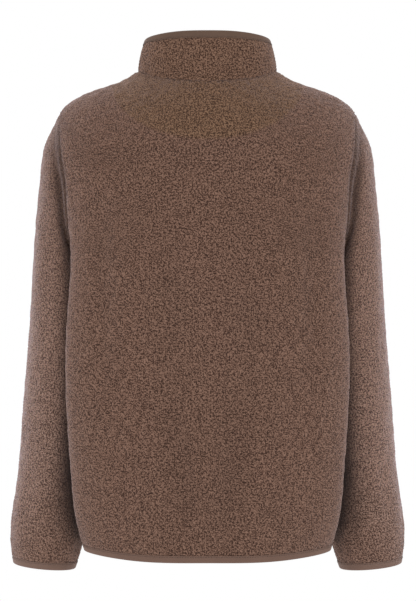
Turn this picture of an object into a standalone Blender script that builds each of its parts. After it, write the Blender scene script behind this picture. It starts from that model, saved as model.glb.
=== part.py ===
"""A borg fleece jacket for a woman, zipped up and filled out as if worn, with nobody in it.

It is cut as a back, two fronts, two set-in sleeves and a stand collar. Smooth folded bindings
finish the collar, the hem and the cuffs, and a zip closes the front from the hem to the top of
the collar. The front faces -Y and the wearer's left is +X. The origin is in the middle of the
neck, at the height where the shoulders carry the jacket.
"""

import math

import bmesh
import bpy
import numpy as np
from mathutils import Vector

MM = 0.001

# The cloth, in metres
PILE_WALL = 0.004
TRIMMED_WALL = 0.0012
SEAM_GAP = 0.0003
ZIP_SLOT = 0.010

# A binding is a strip folded over the trimmed edge of the cloth
BINDING_HEIGHT = 0.0094
BINDING_THICKNESS = 0.0036
BINDING_STRIP = 0.0009
BINDING_FOLD = 0.0012
TRIMMED_END = BINDING_FOLD + SEAM_GAP
TRIMMED_START = BINDING_HEIGHT + SEAM_GAP
PILE_START = TRIMMED_START + 0.0018

# The zip: two tapes behind the fronts, with the chain of teeth between them
TAPE_WIDTH = 0.014
TAPE_THICKNESS = 0.001
CHAIN_WIDTH = 0.005
CHAIN_THICKNESS = 0.0024
CHAIN_DEPTH = PILE_WALL + SEAM_GAP + TAPE_THICKNESS / 2
BOX_HEIGHT = 0.010
BOX_THICKNESS = 0.003
SLIDER_WIDTH = 0.0084
SLIDER_LENGTH = 0.010
SLIDER_PLATE = 0.0012
SLIDER_NECK_WIDTH = 0.0026
SLIDER_NECK_LENGTH = 0.0025
SLIDER_BELOW_TOP = 0.003
BAIL_WIDTH = 0.002
BAIL_LENGTH = 0.007
BAIL_WALL = 0.001
PULL_BAR = 0.0014
PULL_PLAY = 0.00025
PULL_WIDTH = 0.007
PULL_LENGTH = 0.026
PULL_HOLE_WIDTH = 0.0028
PULL_HOLE_LENGTH = 0.0048

# How finely the panels are divided
BACK_COLUMNS = 24
FRONT_COLUMNS = 11
BODY_ROWS = 9
ARMHOLE_ROWS = 9
SHOULDER_ROWS = 3
COLLAR_ROWS = 2
SLEEVE_ROWS = 15

# Rings round the body. Each has the length of cloth up from the hem, then the x, y and z of
# seven places on the wearer's left: centre back, blade, back corner, side, front corner, bust
# and centre front.
BODY_RINGS_MM = {
    "hem": (0, (0, 112, -648), (88, 98, -648), (159, 47, -643.5), (163.5, -2, -641.5),
            (147, -68, -643.5), (80, -111, -648), (0, -121, -648)),
    "low hip": (40, (0, 116, -607), (92, 101, -607), (172, 49, -605), (165, -6, -604),
                (151, -71, -605), (84, -115, -607), (0, -125, -607)),
    "hip": (100, (0, 119, -547), (97, 102, -547), (181, 49, -546), (162, -9, -546),
            (152, -73, -546), (86, -118, -547), (0, -128, -547)),
    "waist": (190, (0, 115, -457), (99, 100, -457), (188, 48, -457), (159, -10, -457),
              (150, -74, -457), (86, -117, -457), (0, -127, -457)),
    "ribs": (270, (0, 112, -377), (99, 98, -377), (190, 47, -377), (157, -10, -377),
             (149, -74, -377), (86, -115, -377), (0, -124, -377)),
    "chest": (345, (0, 117, -302), (100, 101, -302), (186, 47, -302), (156, -10, -302),
              (149, -74, -302), (88, -118, -302), (0, -127, -302)),
    "underarm": (400, (0, 120, -243), (101, 104, -243), (183, 48, -245), (156, -10, -250),
                 (150, -74, -250), (89, -118, -250), (0, -127, -250)),
    "mid armhole": (495, (0, 118, -160), (99, 105, -158), (190, 49, -145), (200, -8, -138),
                    (167, -66, -150), (88, -110, -165), (0, -119, -175)),
    "shoulder tip": (590, (0, 107, -96), (87, 97, -93), (165, 62, -84), (200.7, 0, -47.7),
                     (157, -56, -89), (82, -99, -118), (0, -107, -142)),
    "outer shoulder": (622, (0, 99, -68), (72, 90, -64), (134, 63, -54), (172.5, 0, -25.5),
                       (133, -57, -62), (70, -91, -94), (0, -99, -119)),
    "inner shoulder": (662, (0, 84.5, -33), (51, 76, -29), (94, 53, -21), (120.5, 0, -7),
                       (95, -50, -31), (51, -77, -63), (0, -86, -89)),
    "neckline": (690, (0, 72, -13), (40, 63, -10), (76, 42, -2), (95, 0, 8),
                 (77, -42, -13), (41, -66, -47), (0, -76, -70)),
}
COLLAR_RINGS_MM = {
    "neckline": BODY_RINGS_MM["neckline"],
    "middle": (0.5, (0, 70, 19), (39.5, 61.5, 20), (74.5, 41.5, 23), (92.5, 0, 26),
               (74, -42.5, 7), (40.5, -66.5, -18), (0, -79, -36)),
    "top": (1, (0, 67, 54.5), (38.5, 59, 54.5), (71.5, 39.5, 52), (86.5, 0, 47),
            (71, -42, 30), (39.5, -67, 10), (0, -79, -2)),
}

# The armhole is an oval in the rings' own measure, from the underarm to the shoulder tip
UNDERARM_UP = 0.400
SHOULDER_TIP_UP = 0.590
NECKLINE_UP = 0.690
SIDE_COLUMN = 3.0
FRONT_COLUMN = 6.0
ARMHOLE_BACK = 0.95
ARMHOLE_FRONT = 0.98

# Rings along the sleeve, from the shoulder down to the cuff, in millimetres
SLEEVE_RINGS_MM = (
    # outer x, outer z, inner x, inner z, middle y, half depth, share of the armhole's own shape
    (212, -68, 160.5, -257, -20, 60, 0.95),
    (222.5, -90, 161, -263, -25, 63, 0.80),
    (230, -132, 161, -273, -30, 66, 0.50),
    (236.5, -192, 160.5, -291, -33, 67, 0.25),
    (241.5, -262, 160.5, -321, -35, 66, 0.10),
    (248, -360, 161.5, -390, -36, 62, 0),
    (256.5, -460, 164.5, -475, -39, 57, 0),
    (265.5, -560, 168.5, -567, -43, 53, 0),
    (274, -638, 172.5, -643, -47, 51, 0),
    (270, -669, 183.5, -677.5, -47, 44, 0),
)

# Soft folds of the body: place at the top and at the foot, half width and depth, in millimetres
BACK_FOLDS_MM = (
    # x at the top, x at the foot, z at the top, z at the foot, half width, depth
    (48, 24, -400, -632, 17, 6.5),
    (-45, -22, -415, -636, 22, 6.0),
    (46, 50, -170, -430, 18, 3.0),
    (-52, -52, -180, -430, 19, 3.0),
    (141, 137, -140, -460, 15, 3.5),
    (-142, -138, -140, -460, 15, 3.5),
)
FRONT_FOLDS_MM = (
    (60, 46, -300, -628, 19, 4.5),
    (-58, -48, -320, -634, 20, 4.5),
    (112, 118, -200, -470, 16, 3.5),
    (-115, -116, -190, -450, 16, 3.5),
)
# Soft folds of the sleeve: angle from the outer side towards the back, length down the sleeve
SLEEVE_FOLDS_MM = (
    # angle, start, end, half width in degrees, depth, where a ridge has a depth below nothing
    (42, 70, 330, 15, -1.6),
    (75, 90, 380, 18, 2.0),
    (300, 240, 420, 24, 3.0),
    (215, 280, 460, 22, 2.5),
)

BORG_BROWN = (0.141, 0.081, 0.061, 1.0)
BINDING_BROWN = (0.130, 0.075, 0.055, 1.0)
TAPE_BROWN = (0.090, 0.055, 0.042, 1.0)
TEETH_BROWN = (0.080, 0.048, 0.036, 1.0)
PAINT_BROWN = (0.060, 0.038, 0.030, 1.0)


def spline_weights(knots, places):
    """Weight of each knot's value in a natural cubic spline, a row for each place."""
    knots = np.asarray(knots, float)
    gaps = np.diff(knots)
    count = len(knots)
    bend = np.eye(count)
    load = np.zeros((count, count))
    for k in range(1, count - 1):
        before, after = gaps[k - 1], gaps[k]
        bend[k, k - 1:k + 2] = before, 2 * (before + after), after
        load[k, k - 1:k + 2] = 6 / before, -6 / before - 6 / after, 6 / after
    curving = np.linalg.solve(bend, load)
    span = np.clip(np.searchsorted(knots, places, side="right") - 1, 0, count - 2)
    ahead = ((places - knots[span]) / gaps[span])[:, None]
    behind = 1 - ahead
    scale = (gaps[span] ** 2 / 6)[:, None]
    flat = behind * np.eye(count)[span] + ahead * np.eye(count)[span + 1]
    curved = (behind ** 3 - behind) * curving[span] + (ahead ** 3 - ahead) * curving[span + 1]
    return flat + scale * curved


def ring_surface(rings, lengths, round_places, up_places):
    """Points of the smooth surface through the rings, at places round it and up it."""
    table = np.array([ring[1:] for ring in rings.values()], float) * MM
    last = table.shape[1] - 1
    wrapped = np.arange(-last - 3, last + 4)
    turns = (wrapped + last) % (2 * last) - last
    mirror = np.where(turns < 0, -1, 1)
    closed = table[:, np.abs(turns)]
    closed[:, :, 0] *= mirror
    across = spline_weights(wrapped, round_places)
    along = spline_weights(lengths, up_places)
    return np.einsum("pu,pv,vuc->pc", across, along, closed)


def surface_normals(surface, round_places, up_places):
    """Outward unit normals of a surface, from points a little to each side."""
    step = 1e-3
    sideways = surface(round_places + step, up_places) - surface(round_places - step, up_places)
    upward = surface(round_places, up_places + step) - surface(round_places, up_places - step)
    normals = np.cross(upward, sideways)
    return normals / np.linalg.norm(normals, axis=1)[:, None]


def smooth_body(round_places, up_places):
    lengths = [ring[0] * MM for ring in BODY_RINGS_MM.values()]
    return ring_surface(BODY_RINGS_MM, lengths, round_places, up_places)


def collar(round_places, up_places):
    return ring_surface(COLLAR_RINGS_MM, (0.0, 0.5, 1.0), round_places, up_places)


def fold_depth(points, folds):
    """How far the soft folds sink the cloth at each point."""
    depth = np.zeros(len(points))
    for top_x, foot_x, top, foot, half_width, deep in np.array(folds) * MM:
        down = np.clip((top - points[:, 2]) / (top - foot), 0, 1)
        off = points[:, 0] - (top_x + (foot_x - top_x) * down)
        depth += deep * np.sin(math.pi * down) * np.exp(-(off / half_width) ** 2)
    return depth


def body(round_places, up_places):
    """The body's outer surface, with its soft folds."""
    points = smooth_body(round_places, up_places)
    normals = surface_normals(smooth_body, round_places, up_places)
    behind = np.abs(round_places) < SIDE_COLUMN
    depth = np.where(behind, fold_depth(points, BACK_FOLDS_MM), fold_depth(points, FRONT_FOLDS_MM))
    side_distance = np.abs(np.abs(round_places) - SIDE_COLUMN)
    return points - normals * (depth * np.clip(side_distance, 0, 1))[:, None]


def zip_edge(surface, up_places):
    """Where a surface, followed round to the front, is half the zip's slot from the middle."""
    near = FRONT_COLUMN - 0.1
    slope = surface(np.full(len(up_places), near), up_places)[:, 0] / (FRONT_COLUMN - near)
    return FRONT_COLUMN - ZIP_SLOT / 2 / slope


def armhole_turn(turn, half_width):
    """Distance from the side column and length up, for a turn from the underarm to the tip."""
    middle = (UNDERARM_UP + SHOULDER_TIP_UP) / 2
    half_height = (SHOULDER_TIP_UP - UNDERARM_UP) / 2
    return half_width * math.sin(turn), middle - half_height * math.cos(turn)


def body_rows():
    """For each row of the body: the armhole's reach to the back and front, and its two lengths up."""
    rows = [(0.0, 0.0, up, up) for up in (TRIMMED_END, TRIMMED_START)]
    for up in np.linspace(PILE_START, UNDERARM_UP, BODY_ROWS + 1)[:-1]:
        rows.append((0.0, 0.0, up, up))
    for k in range(ARMHOLE_ROWS + 1):
        turn = math.pi * k / ARMHOLE_ROWS
        back, up = armhole_turn(turn, ARMHOLE_BACK)
        front = armhole_turn(turn, ARMHOLE_FRONT)[0]
        middle_up = UNDERARM_UP + (SHOULDER_TIP_UP - UNDERARM_UP) * k / ARMHOLE_ROWS
        rows.append((back, front, up, middle_up))
    for up in np.linspace(SHOULDER_TIP_UP, NECKLINE_UP, SHOULDER_ROWS + 1)[1:]:
        rows.append((0.0, 0.0, up, up))
    return rows


def back_grid():
    across = np.linspace(-1, 1, BACK_COLUMNS + 1)
    grid = []
    for back, _, edge_up, middle_up in body_rows():
        edge = SIDE_COLUMN - back
        grid.append(body(edge * across, middle_up + (edge_up - middle_up) * across ** 2))
    return np.array(grid)


def front_grid(side):
    """One front, from its side seam round to the zip; side is 1 for the wearer's left."""
    across = np.linspace(0, 1, FRONT_COLUMNS + 1)
    grid = []
    for _, front, edge_up, middle_up in body_rows():
        up = middle_up + (edge_up - middle_up) * (1 - across) ** 2
        start = SIDE_COLUMN + front
        end = zip_edge(smooth_body, up[-1:])[0]
        grid.append(body(side * (start + (end - start) * across), up))
    return np.array(grid)[:, ::side]


def collar_grid(neck_row):
    """The collar over the whole neckline, whose points the body gives."""
    height = np.linalg.norm(collar(np.zeros(1), np.ones(1)) - collar(np.zeros(1), np.zeros(1)))
    bound = [1 - below / height for below in (PILE_START, TRIMMED_START, TRIMMED_END)]
    ups = np.concatenate([np.linspace(0, bound[0], COLLAR_ROWS + 1), bound[1:]])
    back = SIDE_COLUMN * np.linspace(-1, 1, BACK_COLUMNS + 1)
    across = np.linspace(0, 1, FRONT_COLUMNS + 1)[1:]
    grid = [neck_row]
    for up in ups[1:]:
        end = zip_edge(collar, np.array([up]))[0]
        front = SIDE_COLUMN + (end - SIDE_COLUMN) * across
        places = np.concatenate([-front[::-1], back, front])
        grid.append(collar(places, np.full(len(places), up)))
    return np.array(grid)


def oval(outer, inner, middle_y, half_depth, turns):
    """An oval ring between two points in x and z. Turns run from the outer one over the back."""
    middle = (np.array(outer) + inner) / 2
    reach = (np.array(outer) - inner) / 2
    ring = np.empty((len(turns), 3))
    ring[:, 0] = middle[0] + np.cos(turns) * reach[0]
    ring[:, 1] = middle_y + np.sin(turns) * half_depth
    ring[:, 2] = middle[1] + np.cos(turns) * reach[1]
    return ring


def sleeve_rings(armhole, turns):
    """The sleeve's rings in order, the first of which is the loop of the armhole itself."""
    underarm = armhole[len(armhole) // 2]
    lowest_y, highest_y = armhole[:, 1].min(), armhole[:, 1].max()
    plain = oval(armhole[0, ::2], underarm[::2], (lowest_y + highest_y) / 2,
                 (highest_y - lowest_y) / 2, turns)
    rings = [armhole]
    for outer_x, outer_z, inner_x, inner_z, middle_y, half_depth, kept in SLEEVE_RINGS_MM:
        ring = oval((outer_x * MM, outer_z * MM), (inner_x * MM, inner_z * MM), middle_y * MM,
                    half_depth * MM, turns)
        rings.append(ring + kept * (armhole - plain))
    return np.array(rings)


def sleeve_knots():
    """Length down the outer side of the sleeve to each of its rings."""
    tip = smooth_body(np.array([SIDE_COLUMN]), np.array([SHOULDER_TIP_UP]))[0]
    outer = [(tip[0], tip[2])]
    outer += [(row[0] * MM, row[1] * MM) for row in SLEEVE_RINGS_MM]
    steps = np.linalg.norm(np.diff(outer, axis=0), axis=1)
    return np.concatenate([[0], np.cumsum(steps)])


def sleeve_grid(armhole):
    """The left sleeve, from the loop of the armhole down to the cuff."""
    count = len(armhole)
    turns = 2 * math.pi * np.arange(count) / count
    rings = sleeve_rings(armhole, turns)
    knots = sleeve_knots()
    end = knots[-1]
    sleeve_head = (0.012, 0.028, 0.050)
    lower = np.linspace(sleeve_head[-1], end - PILE_START, SLEEVE_ROWS - 2)[1:]
    lengths = np.concatenate([[0], sleeve_head, lower, [end - TRIMMED_START, end - TRIMMED_END]])
    grid = np.einsum("rk,kpc->rpc", spline_weights(knots, lengths), rings)
    middles = grid.mean(axis=1, keepdims=True)
    outward = grid - middles
    outward /= np.linalg.norm(outward, axis=2, keepdims=True)
    for angle, start, stop, half_width, deep in SLEEVE_FOLDS_MM:
        down = np.clip((lengths - start * MM) / ((stop - start) * MM), 0, 1)
        off = (np.degrees(turns) - angle + 180) % 360 - 180
        depth = np.outer(np.sin(math.pi * down), np.exp(-(off / half_width) ** 2)) * deep * MM
        grid -= outward * depth[:, :, None]
    return grid


class Cloth:
    """The outer surface of the sewn cloth, whose panels share the points of their seams."""

    def __init__(self):
        self.known = {}
        self.points = []
        self.panels = {}

    def point(self, place):
        key = tuple(np.round(np.array(place) / 1e-7).astype(int))
        if key not in self.known:
            self.known[key] = len(self.points)
            self.points.append(np.array(place))
        return self.known[key]

    def lay(self, name, grid, trimmed_rows, closed=False):
        """Add a panel. Its rows and columns run so that the outside is on the right hand."""
        indices = np.array([[self.point(place) for place in row] for row in grid])
        if closed:
            indices = np.column_stack([indices, indices[:, :1]])
        quads = np.stack([indices[:-1, :-1], indices[1:, :-1], indices[1:, 1:], indices[:-1, 1:]], axis=2)
        trimmed = {int(i) for row in trimmed_rows for i in indices[row]}
        self.panels[name] = {"grid": indices, "quads": quads.reshape(-1, 4), "trimmed": trimmed}

    def finish(self):
        """Work out the normals, and which way each panel draws back from each seam point."""
        self.points = np.array(self.points)
        self.normals = np.zeros_like(self.points)
        toward = {}
        for name, panel in self.panels.items():
            corners = self.points[panel["quads"]]
            face_normals = np.cross(corners[:, 2] - corners[:, 0], corners[:, 3] - corners[:, 1])
            centres = corners.mean(axis=1)
            for quad, face_normal, centre in zip(panel["quads"], face_normals, centres):
                for index in quad:
                    self.normals[index] += face_normal
                    direction = centre - self.points[index]
                    direction /= np.linalg.norm(direction)
                    toward.setdefault(int(index), {}).setdefault(name, []).append(direction)
        self.normals /= np.linalg.norm(self.normals, axis=1)[:, None]
        self.draws = {}
        for index, by_panel in toward.items():
            if len(by_panel) < 2:
                continue
            middles = {name: np.mean(found, axis=0) for name, found in by_panel.items()}
            for name, own in middles.items():
                others = np.mean([m for other, m in middles.items() if other != name], axis=0)
                away = own - others
                away -= self.normals[index] * away.dot(self.normals[index])
                self.draws[name, index] = away / np.linalg.norm(away) * SEAM_GAP / 2

    def walls(self, name):
        """Outer and inner points of a panel's wall, by index."""
        panel = self.panels[name]
        outer, inner = {}, {}
        for index in np.unique(panel["grid"]):
            index = int(index)
            trim = (PILE_WALL - TRIMMED_WALL) / 2 if index in panel["trimmed"] else 0.0
            place = self.points[index] + self.draws.get((name, index), 0.0)
            outer[index] = place - self.normals[index] * trim
            inner[index] = place - self.normals[index] * (PILE_WALL - trim)
        return outer, inner

    def solid(self, name):
        """A panel's closed wall. Rims that face each other across a seam are split alike."""
        outer, inner = self.walls(name)
        mesh = bmesh.new()
        outside = {index: mesh.verts.new(place) for index, place in outer.items()}
        inside = {index: mesh.verts.new(place) for index, place in inner.items()}
        edges = {}
        for quad in self.panels[name]["quads"]:
            quad = [int(index) for index in quad]
            mesh.faces.new([outside[index] for index in quad])
            mesh.faces.new([inside[index] for index in reversed(quad)])
            for start, end in zip(quad, quad[1:] + quad[:1]):
                edges[start, end] = (end, start) in edges
                if edges[start, end]:
                    edges[end, start] = True
        for (start, end), shared in edges.items():
            if shared:
                continue
            if start < end:
                mesh.faces.new([outside[end], outside[start], inside[end]])
                mesh.faces.new([outside[start], inside[start], inside[end]])
            else:
                mesh.faces.new([outside[end], outside[start], inside[start]])
                mesh.faces.new([outside[end], inside[start], inside[end]])
        return mesh


def add_object(name, mesh, finish):
    """Put a finished bmesh in the jacket's collection as one object."""
    data = bpy.data.meshes.new(name)
    mesh.to_mesh(data)
    mesh.free()
    data.shade_smooth()
    data.set_sharp_from_angle(angle=math.radians(50))
    data.materials.append(finish)
    piece = bpy.data.objects.new(name, data)
    jacket.objects.link(piece)
    return piece


def loft(sections, closed=False):
    """A closed body through equal closed sections, with flat ends or joined round into a ring."""
    mesh = bmesh.new()
    rings = [[mesh.verts.new(place) for place in section] for section in sections]
    pairs = list(zip(rings, rings[1:]))
    if closed:
        pairs.append((rings[-1], rings[0]))
    else:
        mesh.faces.new(reversed(rings[0]))
        mesh.faces.new(rings[-1])
    for first, second in pairs:
        for k in range(len(first)):
            after = (k + 1) % len(first)
            mesh.faces.new((first[k], first[after], second[after], second[k]))
    bmesh.ops.recalc_face_normals(mesh, faces=mesh.faces)
    return mesh


def binding(cloth, end_row, start_row, closed=False):
    """The strip folded over a trimmed edge, from the two trimmed rows of points along it."""
    half = BINDING_THICKNESS / 2
    bend = half - BINDING_STRIP
    profile = (
        (BINDING_HEIGHT, half), (0.001, half), (0, half - 0.001),
        (0, 0.001 - half), (0.001, -half), (BINDING_HEIGHT, -half),
        (BINDING_HEIGHT, -bend), (BINDING_FOLD, -bend), (BINDING_FOLD, bend), (BINDING_HEIGHT, bend),
    )
    sections = []
    for end, start in zip(end_row, start_row):
        section = []
        for height, out in profile:
            share = (height - TRIMMED_END) / (TRIMMED_START - TRIMMED_END)
            place = cloth.points[end] * (1 - share) + cloth.points[start] * share
            normal = cloth.normals[end] * (1 - share) + cloth.normals[start] * share
            normal /= np.linalg.norm(normal)
            section.append(place + normal * (out - PILE_WALL / 2))
        sections.append(section)
    return loft(sections, closed)


def principled(name, colour, roughness):
    finish = bpy.data.materials.new(name)
    finish.use_nodes = True
    shader = finish.node_tree.nodes["Principled BSDF"]
    shader.inputs["Base Color"].default_value = colour
    shader.inputs["Roughness"].default_value = roughness
    shader.inputs["Metallic"].default_value = 0.0
    return finish


def mirrored(grid):
    """The same panel on the other side, its columns turned so that its outside stays out."""
    return grid[:, ::-1] * (-1, 1, 1)


def sew_cloth():
    """All the pile cloth of the jacket, sewn together."""
    back = back_grid()
    front_left = front_grid(1)
    front_right = front_grid(-1)
    armhole = slice(BODY_ROWS + 2, BODY_ROWS + ARMHOLE_ROWS + 3)
    left_loop = np.concatenate([back[armhole, -1][::-1], front_left[armhole, 0][1:-1]])
    right_loop = np.concatenate([back[armhole, 0][::-1], front_right[armhole, -1][1:-1]])
    neck_row = np.concatenate([front_right[-1], back[-1, 1:-1], front_left[-1]])
    cloth = Cloth()
    cloth.lay("back", back, trimmed_rows=(0, 1))
    cloth.lay("front_left", front_left, trimmed_rows=(0, 1))
    cloth.lay("front_right", front_right, trimmed_rows=(0, 1))
    cloth.lay("collar", collar_grid(neck_row), trimmed_rows=(-1, -2))
    cloth.lay("sleeve_left", sleeve_grid(left_loop), trimmed_rows=(-1, -2), closed=True)
    right_sleeve = sleeve_grid(right_loop * (-1, 1, 1))
    cloth.lay("sleeve_right", mirrored(right_sleeve), trimmed_rows=(-1, -2), closed=True)
    cloth.finish()
    return cloth


def joined_row(cloth, row):
    """One row of points round the whole hem, from the right front to the left front."""
    parts = [cloth.panels[name]["grid"][row] for name in ("front_right", "back", "front_left")]
    return np.concatenate([parts[0], parts[1][1:-1], parts[2]])


def zip_columns(cloth, side):
    """Rows of points from one front edge and the collar's end inwards, with the edge's normals."""
    front = cloth.panels["front_left" if side > 0 else "front_right"]["grid"]
    stand = cloth.panels["collar"]["grid"]
    inwards = slice(None, -4, -1) if side > 0 else slice(0, 3)
    rows = np.concatenate([front[:, inwards], stand[1:, inwards]])
    return cloth.points[rows], cloth.normals[rows[:, 0]]


def zip_tape(cloth, side):
    """A flat tape behind one front edge, made from the front's own points moved inwards."""
    inner_x = CHAIN_WIDTH / 2 + SEAM_GAP
    front_depth = PILE_WALL + SEAM_GAP
    back_depth = front_depth + TAPE_THICKNESS
    sections = []
    for row, normal in zip(*zip_columns(cloth, side)):
        edge, second, third = row
        share = (side * inner_x - edge[0]) / (second[0] - edge[0])
        inner = edge + (second - edge) * share
        start, end = (edge, second) if side * second[0] > inner_x + TAPE_WIDTH else (second, third)
        share = (side * (inner_x + TAPE_WIDTH) - start[0]) / (end[0] - start[0])
        outer = start + (end - start) * share
        down = normal * (0, 1, 1)
        outer -= down * SEAM_GAP
        sections.append([inner - down * front_depth, outer - down * front_depth,
                         outer - down * back_depth, inner - down * back_depth])
    return loft(sections)


class ZipLine:
    """The middle line of the zip, measured up from the hem along the cloth's outer surface."""

    def __init__(self, cloth):
        left, normals = zip_columns(cloth, 1)
        right = zip_columns(cloth, -1)[0]
        self.places = (left[:, 0] + right[:, 0]) / 2
        self.normals = normals * (0, 1, 1)
        self.normals /= np.linalg.norm(self.normals, axis=1)[:, None]
        steps = np.linalg.norm(np.diff(self.places, axis=0), axis=1)
        self.lengths = np.concatenate([[0], np.cumsum(steps)])
        self.length = self.lengths[-1]

    def at(self, length, depth):
        place = [np.interp(length, self.lengths, self.places[:, k]) for k in range(3)]
        normal = [np.interp(length, self.lengths, self.normals[:, k]) for k in range(3)]
        return np.array(place) - np.array(normal) * depth

    def between(self, start, end):
        inside = self.lengths[(self.lengths > start) & (self.lengths < end)]
        return [start, *inside, end]

    def tilt(self, length):
        """Turn about X that lays a piece's own -Y on the outward normal there."""
        step = 0.004
        up = self.at(length + step, 0) - self.at(length - step, 0)
        return math.atan2(-up[1], up[2])


def strip(line, start, end, width, front_depth, thickness):
    """A flat strip up the middle of the zip."""
    sections = []
    for length in line.between(start, end):
        front = line.at(length, front_depth)
        back = line.at(length, front_depth + thickness)
        half = np.array((width / 2, 0, 0))
        sections.append([front - half, front + half, back + half, back - half])
    return loft(sections)


def block(size, centre, bevel=0.0):
    """A box of this size about a centre, with its edges rounded."""
    mesh = bmesh.new()
    bmesh.ops.create_cube(mesh, size=1.0)
    bmesh.ops.scale(mesh, vec=size, verts=mesh.verts)
    if bevel:
        bmesh.ops.bevel(mesh, geom=mesh.edges[:], offset=bevel, segments=2, profile=0.5, affect="EDGES")
    bmesh.ops.translate(mesh, vec=centre, verts=mesh.verts)
    return mesh


def bar(radius, length):
    """A round bar along X about the origin."""
    mesh = bmesh.new()
    bmesh.ops.create_cone(mesh, cap_ends=True, segments=16, radius1=radius, radius2=radius, depth=length)
    turn = Vector((0, 0, 1)).rotation_difference(Vector((1, 0, 0))).to_matrix()
    bmesh.ops.rotate(mesh, matrix=turn, verts=mesh.verts)
    return mesh


def combined(name, finish, first, cutters, others):
    """One solid: the first mesh, cut by the cutters and then joined with the others."""
    piece = add_object(name, first, finish)
    for operation, meshes in (("DIFFERENCE", cutters), ("UNION", others)):
        for mesh in meshes:
            data = bpy.data.meshes.new(name + "_tool")
            mesh.to_mesh(data)
            mesh.free()
            tool = bpy.data.objects.new(name + "_tool", data)
            tools.objects.link(tool)
            tool.hide_render = True
            tool.display_type = "WIRE"
            tool.parent = piece
            change = piece.modifiers.new(operation.title(), "BOOLEAN")
            change.operation = operation
            change.object = tool
    return piece


def zip_slider(line, length, finish):
    """Two plates, in front of the chain and behind it, on a neck, with a bail for the pull."""
    front = CHAIN_THICKNESS / 2 + SEAM_GAP
    middle = front + SLIDER_PLATE / 2
    face = front + SLIDER_PLATE
    plate = (SLIDER_WIDTH, SLIDER_PLATE, SLIDER_LENGTH)
    neck = (SLIDER_NECK_WIDTH, 2 * middle, SLIDER_NECK_LENGTH)
    opening = PULL_BAR + 2 * PULL_PLAY
    bail_depth = opening + BAIL_WALL + SLIDER_PLATE / 2
    bail_middle = -(middle + bail_depth / 2)
    hole_depth = opening + SLIDER_PLATE
    piece = combined(
        "zip_slider", finish,
        block((BAIL_WIDTH, bail_depth, BAIL_LENGTH), (0, bail_middle, 0)),
        cutters=[block((2 * BAIL_WIDTH, hole_depth, BAIL_LENGTH - 2 * BAIL_WALL),
                       (0, -(face + opening - hole_depth / 2), 0))],
        others=[block(plate, (0, -middle, 0), bevel=0.0004),
                block(neck, (0, 0, (SLIDER_LENGTH - SLIDER_NECK_LENGTH) / 2 - 0.0005)),
                block(plate, (0, middle, 0), bevel=0.0004)])
    piece.location = line.at(length, CHAIN_DEPTH)
    piece.rotation_euler = (line.tilt(length), 0, 0)
    return piece


def zip_pull(line, length, finish):
    """The pull hangs from the bail by the bar across its top, on which it swings."""
    thickness = PULL_BAR - 0.0001
    hole_top = 0.001
    hole_height = PULL_HOLE_LENGTH + PULL_BAR / 2 + hole_top
    piece = combined(
        "zip_pull", finish,
        block((PULL_WIDTH, thickness, PULL_LENGTH), (0, 0, -PULL_LENGTH / 2), bevel=0.0003),
        cutters=[block((PULL_HOLE_WIDTH, 2 * PULL_BAR, hole_height), (0, 0, hole_top - hole_height / 2))],
        others=[bar(PULL_BAR / 2, PULL_WIDTH - 0.0006)])
    out = CHAIN_THICKNESS / 2 + SEAM_GAP + SLIDER_PLATE + PULL_PLAY + PULL_BAR / 2
    down = BAIL_LENGTH / 2 - BAIL_WALL - PULL_PLAY - PULL_BAR / 2
    piece.location = line.at(length - down, CHAIN_DEPTH - out)
    return piece


for old in list(bpy.data.objects):
    bpy.data.objects.remove(old, do_unlink=True)

jacket = bpy.data.collections.new("borg_fleece_jacket")
tools = bpy.data.collections.new("cutters")
bpy.context.scene.collection.children.link(jacket)
bpy.context.scene.collection.children.link(tools)

borg = principled("borg_pile", BORG_BROWN, 0.95)
ribbon = principled("binding", BINDING_BROWN, 0.85)
tape = principled("zip_tape", TAPE_BROWN, 0.8)
teeth = principled("zip_teeth", TEETH_BROWN, 0.45)
paint = principled("slider_paint", PAINT_BROWN, 0.35)

cloth = sew_cloth()
for panel in cloth.panels:
    add_object(panel, cloth.solid(panel), borg)

hem_rows = (joined_row(cloth, 0), joined_row(cloth, 1))
add_object("hem_binding", binding(cloth, *hem_rows), ribbon)
collar_ends = cloth.panels["collar"]["grid"]
add_object("collar_binding", binding(cloth, collar_ends[-1], collar_ends[-2]), ribbon)
for side_name in ("left", "right"):
    cuff = cloth.panels["sleeve_" + side_name]["grid"][:, :-1]
    cuff_binding = binding(cloth, cuff[-1], cuff[-2], closed=True)
    add_object("cuff_binding_" + side_name, cuff_binding, ribbon)

add_object("zip_tape_left", zip_tape(cloth, 1), tape)
add_object("zip_tape_right", zip_tape(cloth, -1), tape)
line = ZipLine(cloth)
slider_at = line.length - SLIDER_BELOW_TOP - SLIDER_LENGTH / 2
chain_end = slider_at + SLIDER_LENGTH / 2 - SLIDER_NECK_LENGTH - 0.0005 - SEAM_GAP
chain_front = CHAIN_DEPTH - CHAIN_THICKNESS / 2
chain = strip(line, BOX_HEIGHT + SEAM_GAP, chain_end, CHAIN_WIDTH, chain_front, CHAIN_THICKNESS)
add_object("zip_chain", chain, teeth)
box = strip(line, 0, BOX_HEIGHT, CHAIN_WIDTH, CHAIN_DEPTH - BOX_THICKNESS / 2, BOX_THICKNESS)
add_object("zip_box", box, teeth)
zip_slider(line, slider_at, paint)
zip_pull(line, slider_at, paint)
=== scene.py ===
import math

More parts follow.
